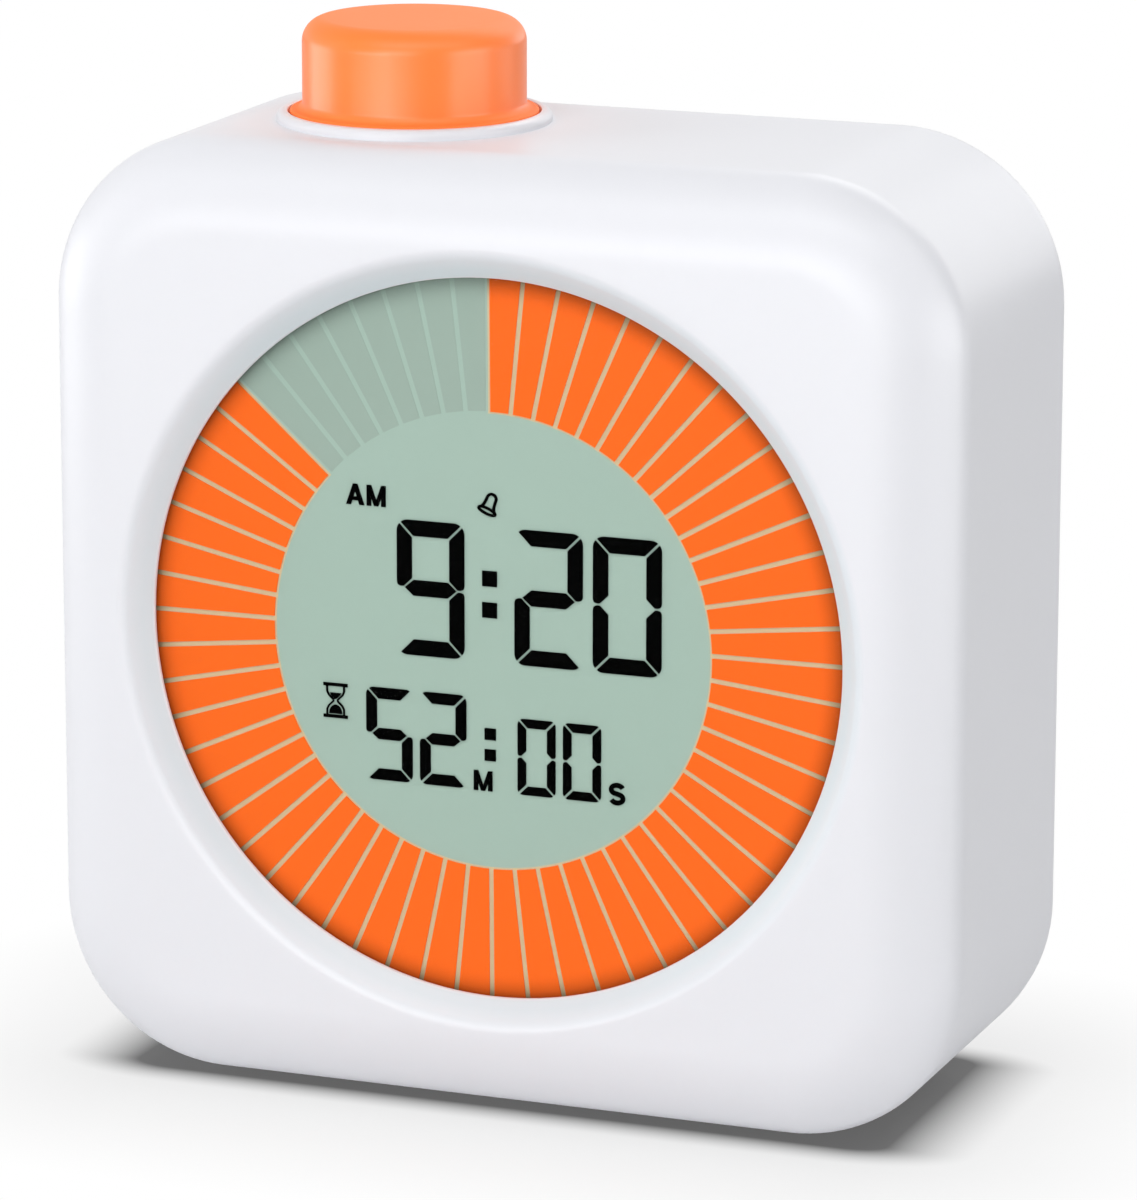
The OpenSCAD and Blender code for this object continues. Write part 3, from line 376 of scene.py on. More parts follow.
def cell_sleeve():
    """Silver sleeve with a green band near its end; the middle cell of three lies the other way."""
    shader, place = shade("cell_sleeve", 0.35)
    low, high = solid_box("battery_cells")
    third = (high[2] - low[2]) / 3
    across, height = part_of(place, "X"), part_of(place, "Z")
    middle = (height > (low[2] + third) * MM) * (height < (high[2] - third) * MM)
    along = across * (1 - 2 * middle)
    fine = noise(place, 0.8)
    sleeve = mixed(fine, colour(188, 190, 192), colour(200, 202, 204))
    band = (along > BAND_START * MM) * (along < BAND_END * MM)
    banded = mixed(band, sleeve, colour(58, 128, 84))
    capped = mixed(along > CAP_START * MM, banded, colour(176, 174, 170))
    coat(shader, capped, 0.3 + fine * 0.1)


cell_sleeve()
print(len(finishes), "finishes with the cells")

# %% [markdown]
# ## Display finishes
# A plain liquid crystal dial is a grey-green film, printed with nothing: the dark figures are small
# areas that are switched on. Around each lit minute the film shows a thin line that takes some
# warmth from the orange: a painted spill of orange light. The film works this out from the distance
# to the middle of the clear disc, and from the angle about the point that the lines run to. The
# picture lies deep under the lip, so its last millimetre or two are always in shade, and every
# finish here darkens there with painted shade.

# %% Places on the dial
DIAL_R, DIAL_X, DISC_R, DISC_RIM = 34.93, 0.2, 22.28, 0.2
DISC_X, DISC_UP, LINES_UP = 0.11, -0.45, 0.07
MINUTES, MINUTES_LEFT, LINE_TURN = 60, 52, -0.353
SHADE_X, SHADE_UP, SHADE_W, SHADE_POWER = DIAL_X - 0.27, -0.18, 2.4, 1.8
SHADE_LIT, SHADE_UNLIT = 0.58, 0.28
ring_low, ring_high = solid_box("lit_segments")
ART_X = (ring_low[0] + ring_high[0]) / 2
ART_UP = ring_low[2] + (ring_high[0] - ring_low[0]) / 2 - CASE_MID


def about(place, x, z):
    """Distance from the line through x and z millimetres, and the angle about it from twelve."""
    right, up = part_of(place, "X") - x * MM, part_of(place, "Z") - z * MM
    return right.math("POWER", right * right + up * up, 0.5), right.math("ARCTAN2", right, up)


def in_shade(place, plain, depth):
    """Painted shade: a colour that loses depth of its light at the lip, by the way there to a
    power.
    """
    distance = about(place, SHADE_X, CASE_MID + SHADE_UP)[0]
    near = ramp(distance, DIAL_R - SHADE_W, DIAL_R)
    return mixed(near.math("POWER", near, SHADE_POWER) * depth, plain, BLACK)


print(f"display picture {ART_X:+.2f}, {ART_UP:+.2f} from the middle of the dial")

# %% Film, inks and lens
# PAINTED_ORANGE_SPILL is painted light: the warm tint of the lines between lit plates.
LCD_GREEN, PAINTED_ORANGE_SPILL = colour(170, 195, 182), colour(217, 199, 158)


def film_finish():
    """Green, but a beige of painted orange spill beyond the disc where the angle from twelve is in
    the lit part.
    """
    shader, place = shade("film_finish", 0.42, Specular_IOR_Level=0.1)
    distance = about(place, ART_X + DISC_X, CASE_MID + ART_UP + DISC_UP)[0]
    angle = about(place, ART_X, CASE_MID + ART_UP + LINES_UP)[1]
    end = LINE_TURN + 360 * (MINUTES_LEFT / MINUTES - 1)
    unlit = (angle < math.radians(LINE_TURN)) * (angle > math.radians(end))
    lit = (distance > (DISC_R - DISC_RIM) * MM) * (1 - unlit)
    cloud = noise(place, 9)
    ground = drifting(cloud, LCD_GREEN, 0.015)
    depth = SHADE_UNLIT + lit * (SHADE_LIT - SHADE_UNLIT)
    coat(shader, in_shade(place, mixed(lit, ground, PAINTED_ORANGE_SPILL), depth), 0.38 + cloud * 0.08)


def ink(name, base, drift, depth, shine, **constants):
    """A dull printed colour that drifts by a share and gets painted shade towards the lip by
    another.
    """
    shader, place = shade(name, 0.5, Specular_IOR_Level=shine, **constants)
    cloud = noise(place, 7)
    coat(shader, in_shade(place, drifting(cloud, base, drift), depth), 0.46 + cloud * 0.08)


film_finish()
# The orange ink gets a faint painted glow from PAINTED_GLOW, though the dial is no lamp.
ink("orange_ink", colour(254, 109, 34), 0.01, SHADE_LIT, 0.03,
    Emission_Color=PAINTED_GLOW, Emission_Strength=0.08)
ink("pale_ink", colour(161, 182, 170), 0.01, SHADE_UNLIT, 0.1)
ink("black_ink", colour(2, 2, 2), 0.2, SHADE_LIT, 0.0)
grained("display_glass", colour(206, 219, 212), 0.12, drift=0.01, bump=0.001, Alpha=0.5)
grained("clear_lens", colour(40, 42, 42), 0.06, drift=0.02, spread=0.02, bump=0.001, Alpha=0.015)
print(len(finishes), "finishes with the display")

# %% [markdown]
# ## Putting arrays into meshes
# Every new surface here is a grid of points. Neighbouring points make four-sided faces, and a
# direction that runs once round the part closes on itself. One function makes the faces, and one
# puts the points in, turns all faces outwards, and keeps an edge sharp where the faces on both
# sides of it meet at a clear angle.

# %% Grid and mesh helpers
SHARP = 32


def grid_faces(rows, columns, closed_rows=False):
    """Faces between neighbouring rows and columns; columns always close, rows do if asked."""
    steps = rows if closed_rows else rows - 1
    i, j = np.meshgrid(np.arange(steps), np.arange(columns), indexing="ij")
    below, beside = (i + 1) % rows, (j + 1) % columns
    corners = [i * columns + j, i * columns + beside, below * columns + beside, below * columns + j]
    return np.stack(corners, axis=-1).reshape(-1, 4)


def dress(name, mesh, finish, body, stands_for):
    """Smooth shading, a finish, a body to ride on and the solids it stands for."""
    mesh.polygons.foreach_set("use_smooth", np.ones(len(mesh.polygons), bool))
    mesh.set_sharp_from_angle(angle=math.radians(SHARP))
    mesh.materials.append(finishes[finish])
    piece = show(name, mesh)
    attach(piece, body)
    if stands_for:
        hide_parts(*stands_for)
    print(f"{name}: {len(mesh.vertices)} points, {len(mesh.polygons)} faces")
    return piece


def put_in(name, points, faces, finish, body, stands_for, slot=None):
    """A piece from points in millimetres and lists of corners, riding on a body of the frame."""
    mesh = bpy.data.meshes.new(name)
    mesh.from_pydata((np.asarray(points) * MM).tolist(), [], [tuple(f) for f in faces])
    work = bmesh.new()
    work.from_mesh(mesh)
    bmesh.ops.recalc_face_normals(work, faces=work.faces)
    work.to_mesh(mesh)
    work.free()
    return dress(name, mesh, finish, body, stands_for)


print("a closed grid of 3 by 4 points has", len(grid_faces(3, 4, True)), "faces")

# %% [markdown]
# ## Front cover
# The front is one moulded shell. Seen from the front it is a rounded square, and all its outlines
# are offsets of one another, so each point keeps its own direction outwards. Seen in section it
# comes from the parting line round a small fillet, over a wide arc onto the flat face, and then
# down a sloping lip to the dial. A stack of outlines that follows this section gives the shell,
# with the flat face blending from square to round.

# %% Outline of the case
CORNER_R = 16.7


def case_outline(per_side, per_corner):
    """Points on the square of corner axes, and the outward direction there, once round."""
    half = np.array([CASE_W / 2, CASE_H / 2]) - CORNER_R
    axes = np.array([[1, 1], [-1, 1], [-1, -1], [1, -1]]) * half
    quarter = np.arange(4)[:, None] * np.pi / 2
    turn = quarter + np.linspace(0, np.pi / 2, per_corner + 2)[None, 1:-1]
    side_turn = np.repeat(quarter, per_side, axis=1)
    share = np.linspace(0, 1, per_side)[None, :, None]
    sides = np.roll(axes, 1, axis=0)[:, None] * (1 - share) + axes[:, None] * share
    base = np.concatenate([sides, np.repeat(axes[:, None], per_corner, axis=1)], axis=1)
    angle = np.concatenate([side_turn, turn], axis=1)
    return base.reshape(-1, 2), np.stack([np.cos(angle), np.sin(angle)], axis=-1).reshape(-1, 2)


base, outward = case_outline(per_side=57, per_corner=24)
print("one outline has", len(base), "points")

# %% Section of the front
EDGE_W, EDGE_D, CREASE_R = 8.5, 5.0, 4.0
EDGE_R = (EDGE_W**2 + EDGE_D**2) / (2 * EDGE_D)
EDGE_TURN = math.asin((EDGE_W - CREASE_R) / (EDGE_R - CREASE_R))
LIP_W, LIP_SLOPE_D, LIP_D, LIP_ROUND = 2.32, 1.9, 2.2, 2.0
LIP_ANGLE = math.atan2(LIP_SLOPE_D, LIP_W)
LIP_TOP_R = DIAL_R + LIP_W + LIP_ROUND * math.tan(LIP_ANGLE / 2)
SLOPE_END, SEAT_W, SEAT_D = 0.8, 3.2, 0.4
SOFT_EDGE = [[0.14, -0.12], [0.03, -0.01], [0, 0.07]]


def edge_rows():
    """Inset and depth from the parting line: crease fillet, then the wide arc to the face."""
    s = np.linspace(np.pi / 2, EDGE_TURN, 10)
    t = np.linspace(EDGE_TURN, np.radians(2.5), 20)[1:]
    inset = np.r_[CREASE_R * (1 - np.sin(s)), EDGE_W - EDGE_R * np.sin(t)]
    return inset, np.r_[PARTING_D - CREASE_R * np.cos(s), EDGE_R * (1 - np.cos(t))]


def lip_rows():
    """Radius and depth from the flat face: rounding, slope, soft edge, land and lens seat."""
    a = np.linspace(0, LIP_ANGLE, 10)[1:]
    rounding = np.stack([LIP_TOP_R - LIP_ROUND * np.sin(a), LIP_ROUND * (1 - np.cos(a))], axis=1)
    slope = [DIAL_R + SLOPE_END, LIP_SLOPE_D * (1 - SLOPE_END / LIP_W)]
    edge = np.array(SOFT_EDGE) + [DIAL_R, LIP_SLOPE_D]
    seat = [[DIAL_R, LIP_D], [DIAL_R + SEAT_W, LIP_D], [DIAL_R + SEAT_W, LIP_D + SEAT_D]]
    return np.vstack([rounding, slope, edge, seat]).T


print(f"edge radius {EDGE_R:.2f}, lip starts at {LIP_TOP_R:.2f}",
      f"and slopes {math.degrees(LIP_ANGLE):.1f} degrees")

# %% [markdown]
# The lip looks into the orange ring, and in a clean room it would take on its colour. On the real
# clock it stays a cool grey, so the finish of the front paints shade on it: a band between the
# start of the lip and its edge is a little darker and bluer than the rest, most on the right.

# %% Finish of the front
# The lip's painted shade: a cool grey, bluest towards BLUE_AT degrees from twelve.
LIP_SHADE_GREY, LIP_SHADE_BLUE, BLUE_AT = colour(216, 225, 230), colour(211, 230, 236), 75
COOL_EDGE, COOL_FULL = 0.2, 0.9


def painted_lip_shade(name):
    """The case finish, mixed with a cool grey of painted shade by how far the lip has come down to
    the dial.
    """
    grained(name, WHITE, **SATIN)
    tree = finishes[name].node_tree
    shader = tree.nodes["Principled BSDF"]
    plain = Wire(tree, shader.inputs["Base Color"].links[0].from_socket)
    place = plain.make("ShaderNodeTexCoord", output="Object")
    distance, angle = about(place, DIAL_X, CASE_MID)
    down = ramp(distance, LIP_TOP_R - COOL_EDGE, DIAL_R + COOL_FULL)
    amount = down * ramp(distance, DIAL_R, DIAL_R + COOL_EDGE)
    side = angle.math("MAXIMUM", angle.math("COSINE", angle - math.radians(BLUE_AT)), 0.0)
    feed(mixed(amount, plain, mixed(side, LIP_SHADE_GREY, LIP_SHADE_BLUE)), shader, "Base Color")


painted_lip_shade("front_plastic")
print(len(finishes), "finishes with the front")

# %% Front cover
WALL, RIM_D, LEAST_FLAT = 3.4, 0.3, 0.03
FLAT_SHARES = np.array([0, 0.05, 0.35, 0.7, 1.0])


def front_points():
    """Rows of points: outlines by inset, the flat blend, circles by radius, and the inside."""
    inset, depth = edge_rows()
    edge = base + (CORNER_R - inset)[:, None, None] * outward
    flat = base + (CORNER_R - EDGE_W) * outward
    reach = np.linalg.norm(flat, axis=1)
    ray = flat / reach[:, None]
    w, v = math.sqrt(LIP_ROUND), math.sqrt(EDGE_R)
    meet = (reach * w + LIP_TOP_R * v) / (w + v)
    outer = np.where(reach < LIP_TOP_R + 2 * LEAST_FLAT, meet + LEAST_FLAT, reach)
    inner = np.minimum(LIP_TOP_R, outer - LEAST_FLAT)
    level = (outer + (inner - outer) * FLAT_SHARES[:, None])[:, :, None] * ray
    radius, lip_depth = lip_rows()
    slid = np.clip((LIP_TOP_R - radius) / (LIP_TOP_R - DIAL_R), 0, 1)
    lip = radius[:, None, None] * ray + slid[:, None, None] * [DIAL_X, 0]
    inside = np.stack([base + (CORNER_R - WALL) * outward] * 2)
    plane = np.concatenate([edge, level, lip, inside])
    back = np.r_[depth, np.zeros(len(FLAT_SHARES)), lip_depth, PARTING_D - RIM_D, PARTING_D]
    y = np.broadcast_to(FRONT_Y + back[:, None], plane.shape[:2])
    return np.stack([plane[..., 0], y, CASE_MID + plane[..., 1]], axis=-1)


rows = front_points()
front_faces = grid_faces(*rows.shape[:2], closed_rows=True)
put_in("front_shell", rows.reshape(-1, 3), front_faces, "front_plastic", "case", ["front_cover"],
       slot="case_plastic")

# %% [markdown]
# ## Rear case
# The rear case has recesses, posts and many holes, and its solid already holds them exactly. Its
# rounded edges are narrow flat strips, though, and in raking light each strip shows. A joined
# copy gets softer normals: at each point the faces that meet at a small angle share one normal,
# and a face counts as much as the whole plane that it lies in, so the large flat back stays flat.

# %% Rear case
WELD, LEVEL_WITHIN, TURN_STEPS, PLANE_STEP = 0.002, 0.3, 200, 0.02


def joined(node, name, flat=False):
    """A copy of a solid's mesh with its triangles joined; flat areas lose inner edges if asked."""
    work = bmesh.new()
    work.from_mesh(nodes[node].data)
    bmesh.ops.remove_doubles(work, verts=work.verts, dist=WELD * MM)
    if flat:
        level = math.radians(LEVEL_WITHIN)
        bmesh.ops.dissolve_limit(work, angle_limit=level, verts=work.verts, edges=work.edges)
    mesh = bpy.data.meshes.new(name)
    work.to_mesh(mesh)
    work.free()
    mesh.materials.clear()
    return mesh


def read_out(items, name, width=1, kind=float):
    """One property of all faces or corners as an array."""
    values = np.empty(len(items) * width, kind)
    items.foreach_get(name, values)
    return values.reshape(-1, width) if width > 1 else values


def even_normals(mesh, limit):
    """Each corner's normal: the sum, by plane area, over faces at its point within the limit."""
    normal = read_out(mesh.polygons, "normal", 3)
    offset = (normal * read_out(mesh.polygons, "center", 3)).sum(axis=1)
    key = np.round(np.column_stack([normal * TURN_STEPS, offset / (PLANE_STEP * MM)]))
    plane = np.unique(key, axis=0, return_inverse=True)[1].ravel()
    pull = normal * np.bincount(plane, read_out(mesh.polygons, "area"))[plane][:, None]
    corners = read_out(mesh.polygons, "loop_total", kind=np.int32)
    face = np.repeat(np.arange(len(mesh.polygons)), corners)
    point = read_out(mesh.loops, "vertex_index", kind=np.int32)
    order = np.argsort(point, kind="stable")
    total = pull[face]
    for step in range(1, np.bincount(point).max()):
        for other in (np.roll(order, step), np.roll(order, -step)):
            turn = (normal[face[order]] * normal[face[other]]).sum(axis=1)
            share = (point[order] == point[other]) & (turn > math.cos(math.radians(limit)))
            total[order] += share[:, None] * pull[face[other]]
    total /= np.linalg.norm(total, axis=1)[:, None]
    mesh.normals_split_custom_set(total.tolist())


rear_mesh = joined("rear_case", "rear_shell")
dress("rear_shell", rear_mesh, "case_plastic", "case", ["rear_case"])
even_normals(rear_mesh, SHARP)

# %% [markdown]
# ## Door and slider
# The battery door and the slider are handled often and have soft edges. On a joined copy of each
# solid a small bevel catches the light along every edge, as moulded plastic does. The last
# modifier lets large faces keep their normals, so the bevel alone looks round.

# %% Door and slider
BEVEL_FROM = 40


def softened(node, name, finish, body, bevel):
    """A joined copy of a solid whose clear edges are bevelled by some millimetres."""
    piece = dress(name, joined(node, name, flat=True), finish, body, [node])
    edge = piece.modifiers.new("edge", "BEVEL")
    edge.width, edge.segments = bevel * MM, 2
    edge.limit_method, edge.angle_limit = "ANGLE", math.radians(BEVEL_FROM)
    piece.modifiers.new("weigh", "WEIGHTED_NORMAL").keep_sharp = True


softened("battery_door", "door_panel", "case_plastic", "door", 0.25)
softened("volume_slider", "slider_grip", "key_plastic", "volume", 0.2)

# %% [markdown]
# ## Turned parts
# The knob, its collar, the keys and the feet are round. Each is a section of radius and height
# that is carried once round an axis. Where the section starts or ends on the axis, the ring there
# shrinks to one point, so the part closes without a hole.

# %% Turn a section about an axis
ON_AXIS = 1e-6


def turned(section, count, centre, upright=True, closed=False):
    """Points r cos t, r sin t and h about an axis, and faces; ends on the axis are one point."""
    section = np.asarray(section, float)
    t = np.linspace(0, 2 * np.pi, count, endpoint=False)
    ring = section[section[:, 0] > ON_AXIS]
    r, h = ring[:, :1], np.repeat(ring[:, 1:], count, axis=1)
    plane = [r * np.cos(t), r * np.sin(t), h] if upright else [r * np.cos(t), h, r * np.sin(t)]
    points = np.stack(plane, axis=-1).reshape(-1, 3)
    faces = grid_faces(len(ring), count, closed).tolist()
    step = np.arange(count)
    for end, first in ((0, 0), (-1, (len(ring) - 1) * count)):
        if section[end, 0] <= ON_AXIS:
            tip = [0, 0, section[end, 1]] if upright else [0, section[end, 1], 0]
            points = np.vstack([points, tip])
            last = np.full(count, len(points) - 1)
            faces += np.stack([first + step, first + (step + 1) % count, last], axis=1).tolist()
    return points + np.asarray(centre), faces


def bend(centre, radius, start, stop, count):
    """Points on an arc between two angles in degrees; two radii make it an ellipse's."""
    a = np.radians(np.linspace(start, stop, count))
    return np.asarray(centre) + np.stack([np.cos(a), np.sin(a)], axis=1) * radius


print("turned parts close their ends on the axis")

# %% [markdown]
# ## Knob and collar
# The knob is a short round cap with a soft top edge, a fillet at its foot and a thin flange that
# sits inside a white collar. Only a hair line is left between flange and collar, and it reads as
# a fine dark ring in the picture.

# %% Knob
ROUND_STEPS = 192
knob_low, knob_high = solid_box("knob")
knob_axis = [(knob_low[0] + knob_high[0]) / 2, (knob_low[1] + knob_high[1]) / 2, CASE_TOP]
KNOB_H, KNOB_FOOT = knob_high[2] - CASE_TOP, knob_low[2] - CASE_TOP
KNOB_ROUND, KNOB_FILLET = 2.3, 0.8
FLANGE_R, FLANGE_TOP = (knob_high[0] - knob_low[0]) / 2, 1.15
FLANGE_W, FLANGE_ROUND, FOOT_CUT = 1.2, 0.3, 0.2
GRIP_R = FLANGE_R - FLANGE_W
knob_section = np.vstack([
    [[0, KNOB_FOOT], [FLANGE_R - FOOT_CUT, KNOB_FOOT], [FLANGE_R, KNOB_FOOT + FOOT_CUT]],
    bend([FLANGE_R - FLANGE_ROUND, FLANGE_TOP - FLANGE_ROUND], FLANGE_ROUND, 0, 90, 5),
    bend([GRIP_R + KNOB_FILLET, FLANGE_TOP + KNOB_FILLET], KNOB_FILLET, 270, 180, 9),
    bend([GRIP_R - KNOB_ROUND, KNOB_H - KNOB_ROUND], KNOB_ROUND, 0, 90, 16),
    [[GRIP_R * 0.5, KNOB_H], [GRIP_R * 0.1, KNOB_H], [0, KNOB_H]]])
put_in("knob_cap", *turned(knob_section, ROUND_STEPS, knob_axis), "knob_plastic", "knob", ["knob"])

# %% Collar
collar_low, collar_high = solid_box("knob_collar")
COLLAR_W, COLLAR_ROUND, COLLAR_EDGE, COLLAR_LOWER = 1.1, 0.7, 0.15, 0.2
COLLAR_H = collar_high[2] - CASE_TOP - COLLAR_LOWER
SLEEVE_W, SLEEVE_D, COLLAR_SINK = 0.6, 2.0, 0.1
COLLAR_OUT = (collar_high[0] - collar_low[0]) / 2
COLLAR_IN = COLLAR_OUT - COLLAR_W
SLEEVE_OUT = COLLAR_IN + SLEEVE_W
collar_section = np.vstack([
    [[COLLAR_IN, -SLEEVE_D], [SLEEVE_OUT, -SLEEVE_D]],
    [[SLEEVE_OUT, -COLLAR_SINK], [COLLAR_OUT, -COLLAR_SINK]],
    bend([COLLAR_OUT - COLLAR_ROUND, COLLAR_H - COLLAR_ROUND], COLLAR_ROUND, 0, 90, 12),
    bend([COLLAR_IN + COLLAR_EDGE, COLLAR_H - COLLAR_EDGE], COLLAR_EDGE, 90, 180, 5)])
put_in("collar_ring", *turned(collar_section, ROUND_STEPS, knob_axis, closed=True),
       "case_plastic", "case", ["knob_collar"])

# %% [markdown]
# ## Keys and feet
# The three keys at the back have a soft edge and a shallow dish for the finger. The feet are
# rubber discs with a rounded rim, half sunk into the bottom of the case.

# %% Keys
STEM_R, STEM_L, KEY_FLANGE_W, KEY_FLANGE_T, KEY_ROUND = 1.6, 0.8, 1.0, 1.0, 0.5
KEY_DISH = [[0.7, 0.05], [0.4, 0.12], [0.1, 0.15], [0, 0.15]]
KEY_STEPS = 72


def key_piece(name, node):
    """A turned cap with flange and stem, flush with the back and dished by 0.15 mm."""
    low, high = solid_box(node)
    flange = (high[0] - low[0]) / 2
    radius = flange - KEY_FLANGE_W
    axis = [(low[0] + high[0]) / 2, 0, (low[2] + high[2]) / 2]
    stem, front, back = low[1] + np.array([0, STEM_L, STEM_L + KEY_FLANGE_T])
    section = np.vstack([
        [[0, stem], [STEM_R, stem], [STEM_R, front]],
        [[flange, front], [flange, back], [radius, back]],
        bend([radius - KEY_ROUND, high[1] - KEY_ROUND], KEY_ROUND, 0, 90, 8),
        np.array(KEY_DISH) * [radius, -1] + [0, high[1]]])
    put_in(name, *turned(section, KEY_STEPS, axis, upright=False), "key_plastic", node, [node])


for word in ("mode", "hour", "minute"):
    key_piece(f"{word}_cap", f"{word}_key")

# %% Feet
FOOT_R, FOOT_TALL, FOOT_ROUND, FOOT_FLAT, FOOT_STEPS = 3.5, 2.8, 0.6, 0.7, 56
foot_x, foot_y = (solid_box("rubber_feet")[1] - FOOT_R)[:2]
foot_section = np.vstack([
    [[0, 0], [FOOT_R - FOOT_FLAT, 0]],
    bend([FOOT_R - FOOT_ROUND, FOOT_ROUND], FOOT_ROUND, -75, 0, 7),
    [[FOOT_R, FOOT_TALL], [0, FOOT_TALL]]])
one_foot, foot_faces = turned(foot_section, FOOT_STEPS, [0, 0, 0])
spots = np.array([[x, y, 0] for x in (-foot_x, foot_x) for y in (-foot_y, foot_y)])
all_feet = (one_foot[None] + spots[:, None]).reshape(-1, 3)
all_faces = [[c + k * len(one_foot) for c in f] for k in range(len(spots)) for f in foot_faces]
put_in("foot_pads", all_feet, all_faces, "foot_rubber", "case", ["rubber_feet"])

# %% [markdown]
# ## Figures on the dial
# Each figure is made of straight strokes that meet at a slant, with the outer corners of the
# figure rounded. A stroke is worked out once, for the upper right of a figure, and turned or
# mirrored into its place. It is a thin plate, as deep as the solid that it stands for.

# %% Strokes of a figure
INK_FRONT, INK_BACK = 2.80, 2.92
GAP = 0.23
POST_TIP = np.array([[-0.45, 0], [-0.22, 0], [-0.06, 0.08], [0, 0.26]])


def corner_cut(rho, k):
    """Distances from the corner at which its arc of radius rho meets the gap line u = v + k."""
    v = ((2 * rho - k) - math.sqrt((2 * rho - k) ** 2 - 2 * (k - rho) ** 2)) / 2
    return v + k, v


def bar(w, h, s, k, rho):
    """Top stroke: along the top, round both corners to the gap lines, back along the inner edge."""
    u, v = corner_cut(rho, k)
    end = math.degrees(math.atan2(rho - v, rho - u))
    right = bend([w / 2 - rho, h / 2 - rho], rho, 90, end, 7)
    inner = np.array([[w / 2 - s - k, h / 2 - s], [k + s - w / 2, h / 2 - s]])
    return np.vstack([right, inner, (right * [-1, 1])[::-1]])


def post(w, h, s, k, rho):
    """Upper right stroke: the bar's end mirrored in the slant, then down to a slanting tip."""
    u, v = corner_cut(rho, k)
    end = math.degrees(math.atan2(rho - u, rho - v))
    top = bend([w / 2 - rho, h / 2 - rho], rho, 0, end, 7)
    inner = np.array([[w / 2 - s, h / 2 - s - k], [w / 2 - s, s * 0.5 + k]])
    return np.vstack([top, inner, POST_TIP * s + [w / 2, GAP * 0.45]])


def middle(w, h, s, k, rho):
    """Middle stroke: a long hexagon between the tips of the posts."""
    tip, flat = w / 2 - s * 0.42 - k, w / 2 - s - k
    upper = [[tip, 0], [flat, s / 2], [-flat, s / 2]]
    return np.vstack([upper, -np.array(upper)])


print(f"strokes are parted by {GAP} mm, {INK_FRONT} to {INK_BACK} mm behind the front")

# %% Figures from strokes
STROKES = {0: "abcdef", 2: "abged", 5: "afgcd", 9: "abcdfg"}
PLACES = {"a": (bar, 1, 1), "b": (post, 1, 1), "c": (post, 1, -1), "d": (bar, 1, -1),
          "e": (post, -1, -1), "f": (post, -1, 1), "g": (middle, 1, 1)}


def figure(value, x, z, w, h, s, rho):
    """Outlines of one figure's strokes, mirrored into place about its middle."""
    return [stroke(w, h, s, GAP / math.sqrt(2), rho) * [sx, sz] + [x, z]
            for stroke, sx, sz in (PLACES[letter] for letter in STROKES[value])]


def square_dot(x, z, side):
    """The four corners of a square, half a side from its middle each way."""
    return np.array([[-1, -1], [1, -1], [1, 1], [-1, 1]]) * side / 2 + [x, z]


def inlays(name, outlines, finish, stands_for, front=INK_FRONT):
    """Thin plates from flat outlines: a front face, a back face and a wall between for each."""
    points, faces, start = [], [], 0
    for outline in outlines:
        n = len(outline)
        step = np.arange(n)
        across, up = outline[:, 0] + ART_X, outline[:, 1] + CASE_MID + ART_UP
        for depth in (front, INK_BACK):
            points.append(np.stack([across, np.full(n, FRONT_Y + depth), up], axis=1))
        faces += [(start + step).tolist(), (start + n + step[::-1]).tolist()]
        beside = (step + 1) % n
        wall = [start + step, start + beside, start + n + beside, start + n + step]
        faces += np.stack(wall, axis=1).tolist()
        start += 2 * n
    put_in(name, np.vstack(points), faces, finish, "case", stands_for)


print("figures known:", *STROKES)

# %% Time and countdown
clock_size = dict(z=4.18, w=6.89, h=13.15, s=1.53, rho=1.1)
minute_size = dict(z=-10.45, w=4.77, h=9.1, s=1.1, rho=0.75)
second_size = dict(z=-11.35, w=3.85, h=7.45, s=0.86, rho=0.6)


def row(size, places, colon=(), x=0.0, side=0.0):
    """All plates of a row: a figure at each place, and the dots of a colon about its middle."""
    strokes = [stroke for value, at in places for stroke in figure(value, at, **size)]
    return strokes + [square_dot(x, size["z"] + dz, side) for dz in colon]


hours = row(clock_size, [(9, -6.01), (2, 5.98), (0, 13.89)], (-1.525, 1.525), 0, 1.5)
left = row(minute_size, [(5, -10.31), (2, -4.78)], (-1.06, 1.0), 0.05, 1.14)
seconds = row(second_size, [(0, 4.77), (0, 9.38)])
for word, plates in (("clock", hours), ("minute", left), ("second", seconds)):
    inlays(f"{word}_figures", plates, "black_ink", [f"{word}_digits"])

# %% [markdown]
# ## Ring of minutes
# Sixty plates make the ring, one for each minute. The pale lines between them are even, so the
# sides of a plate run beside a line, and not towards the middle. The clear disc inside the ring
# lies a little lower than the point that the lines run to. A lit plate is as thick as the
# figures. An unlit one is hardly more than a tint, and so thin that its edge throws no shade.

# %% Minute plates
RING_R, LINE_W, TINT_T = DIAL_R + 1.2, 0.5, 0.02


def on_circle(start, along, centre, radius):
    """Where rays leave a circle: the far s at which start + s along is a radius from the centre."""
    away = start - centre
    half = (away * along).sum(axis=-1)
    s = np.sqrt(half**2 - (away**2).sum(axis=-1) + radius**2) - half
    return start + s[..., None] * along


def arc_between(ends, centre, radius, count):
    """Points on a circle from the first to the second end of each pair."""
    turn = np.arctan2(ends[..., 0] - centre[0], ends[..., 1] - centre[1])
    a = np.linspace(turn[:, 0], turn[:, 1], count, axis=1)
    return np.stack([centre[0] + radius * np.sin(a), centre[1] + radius * np.cos(a)], axis=-1)


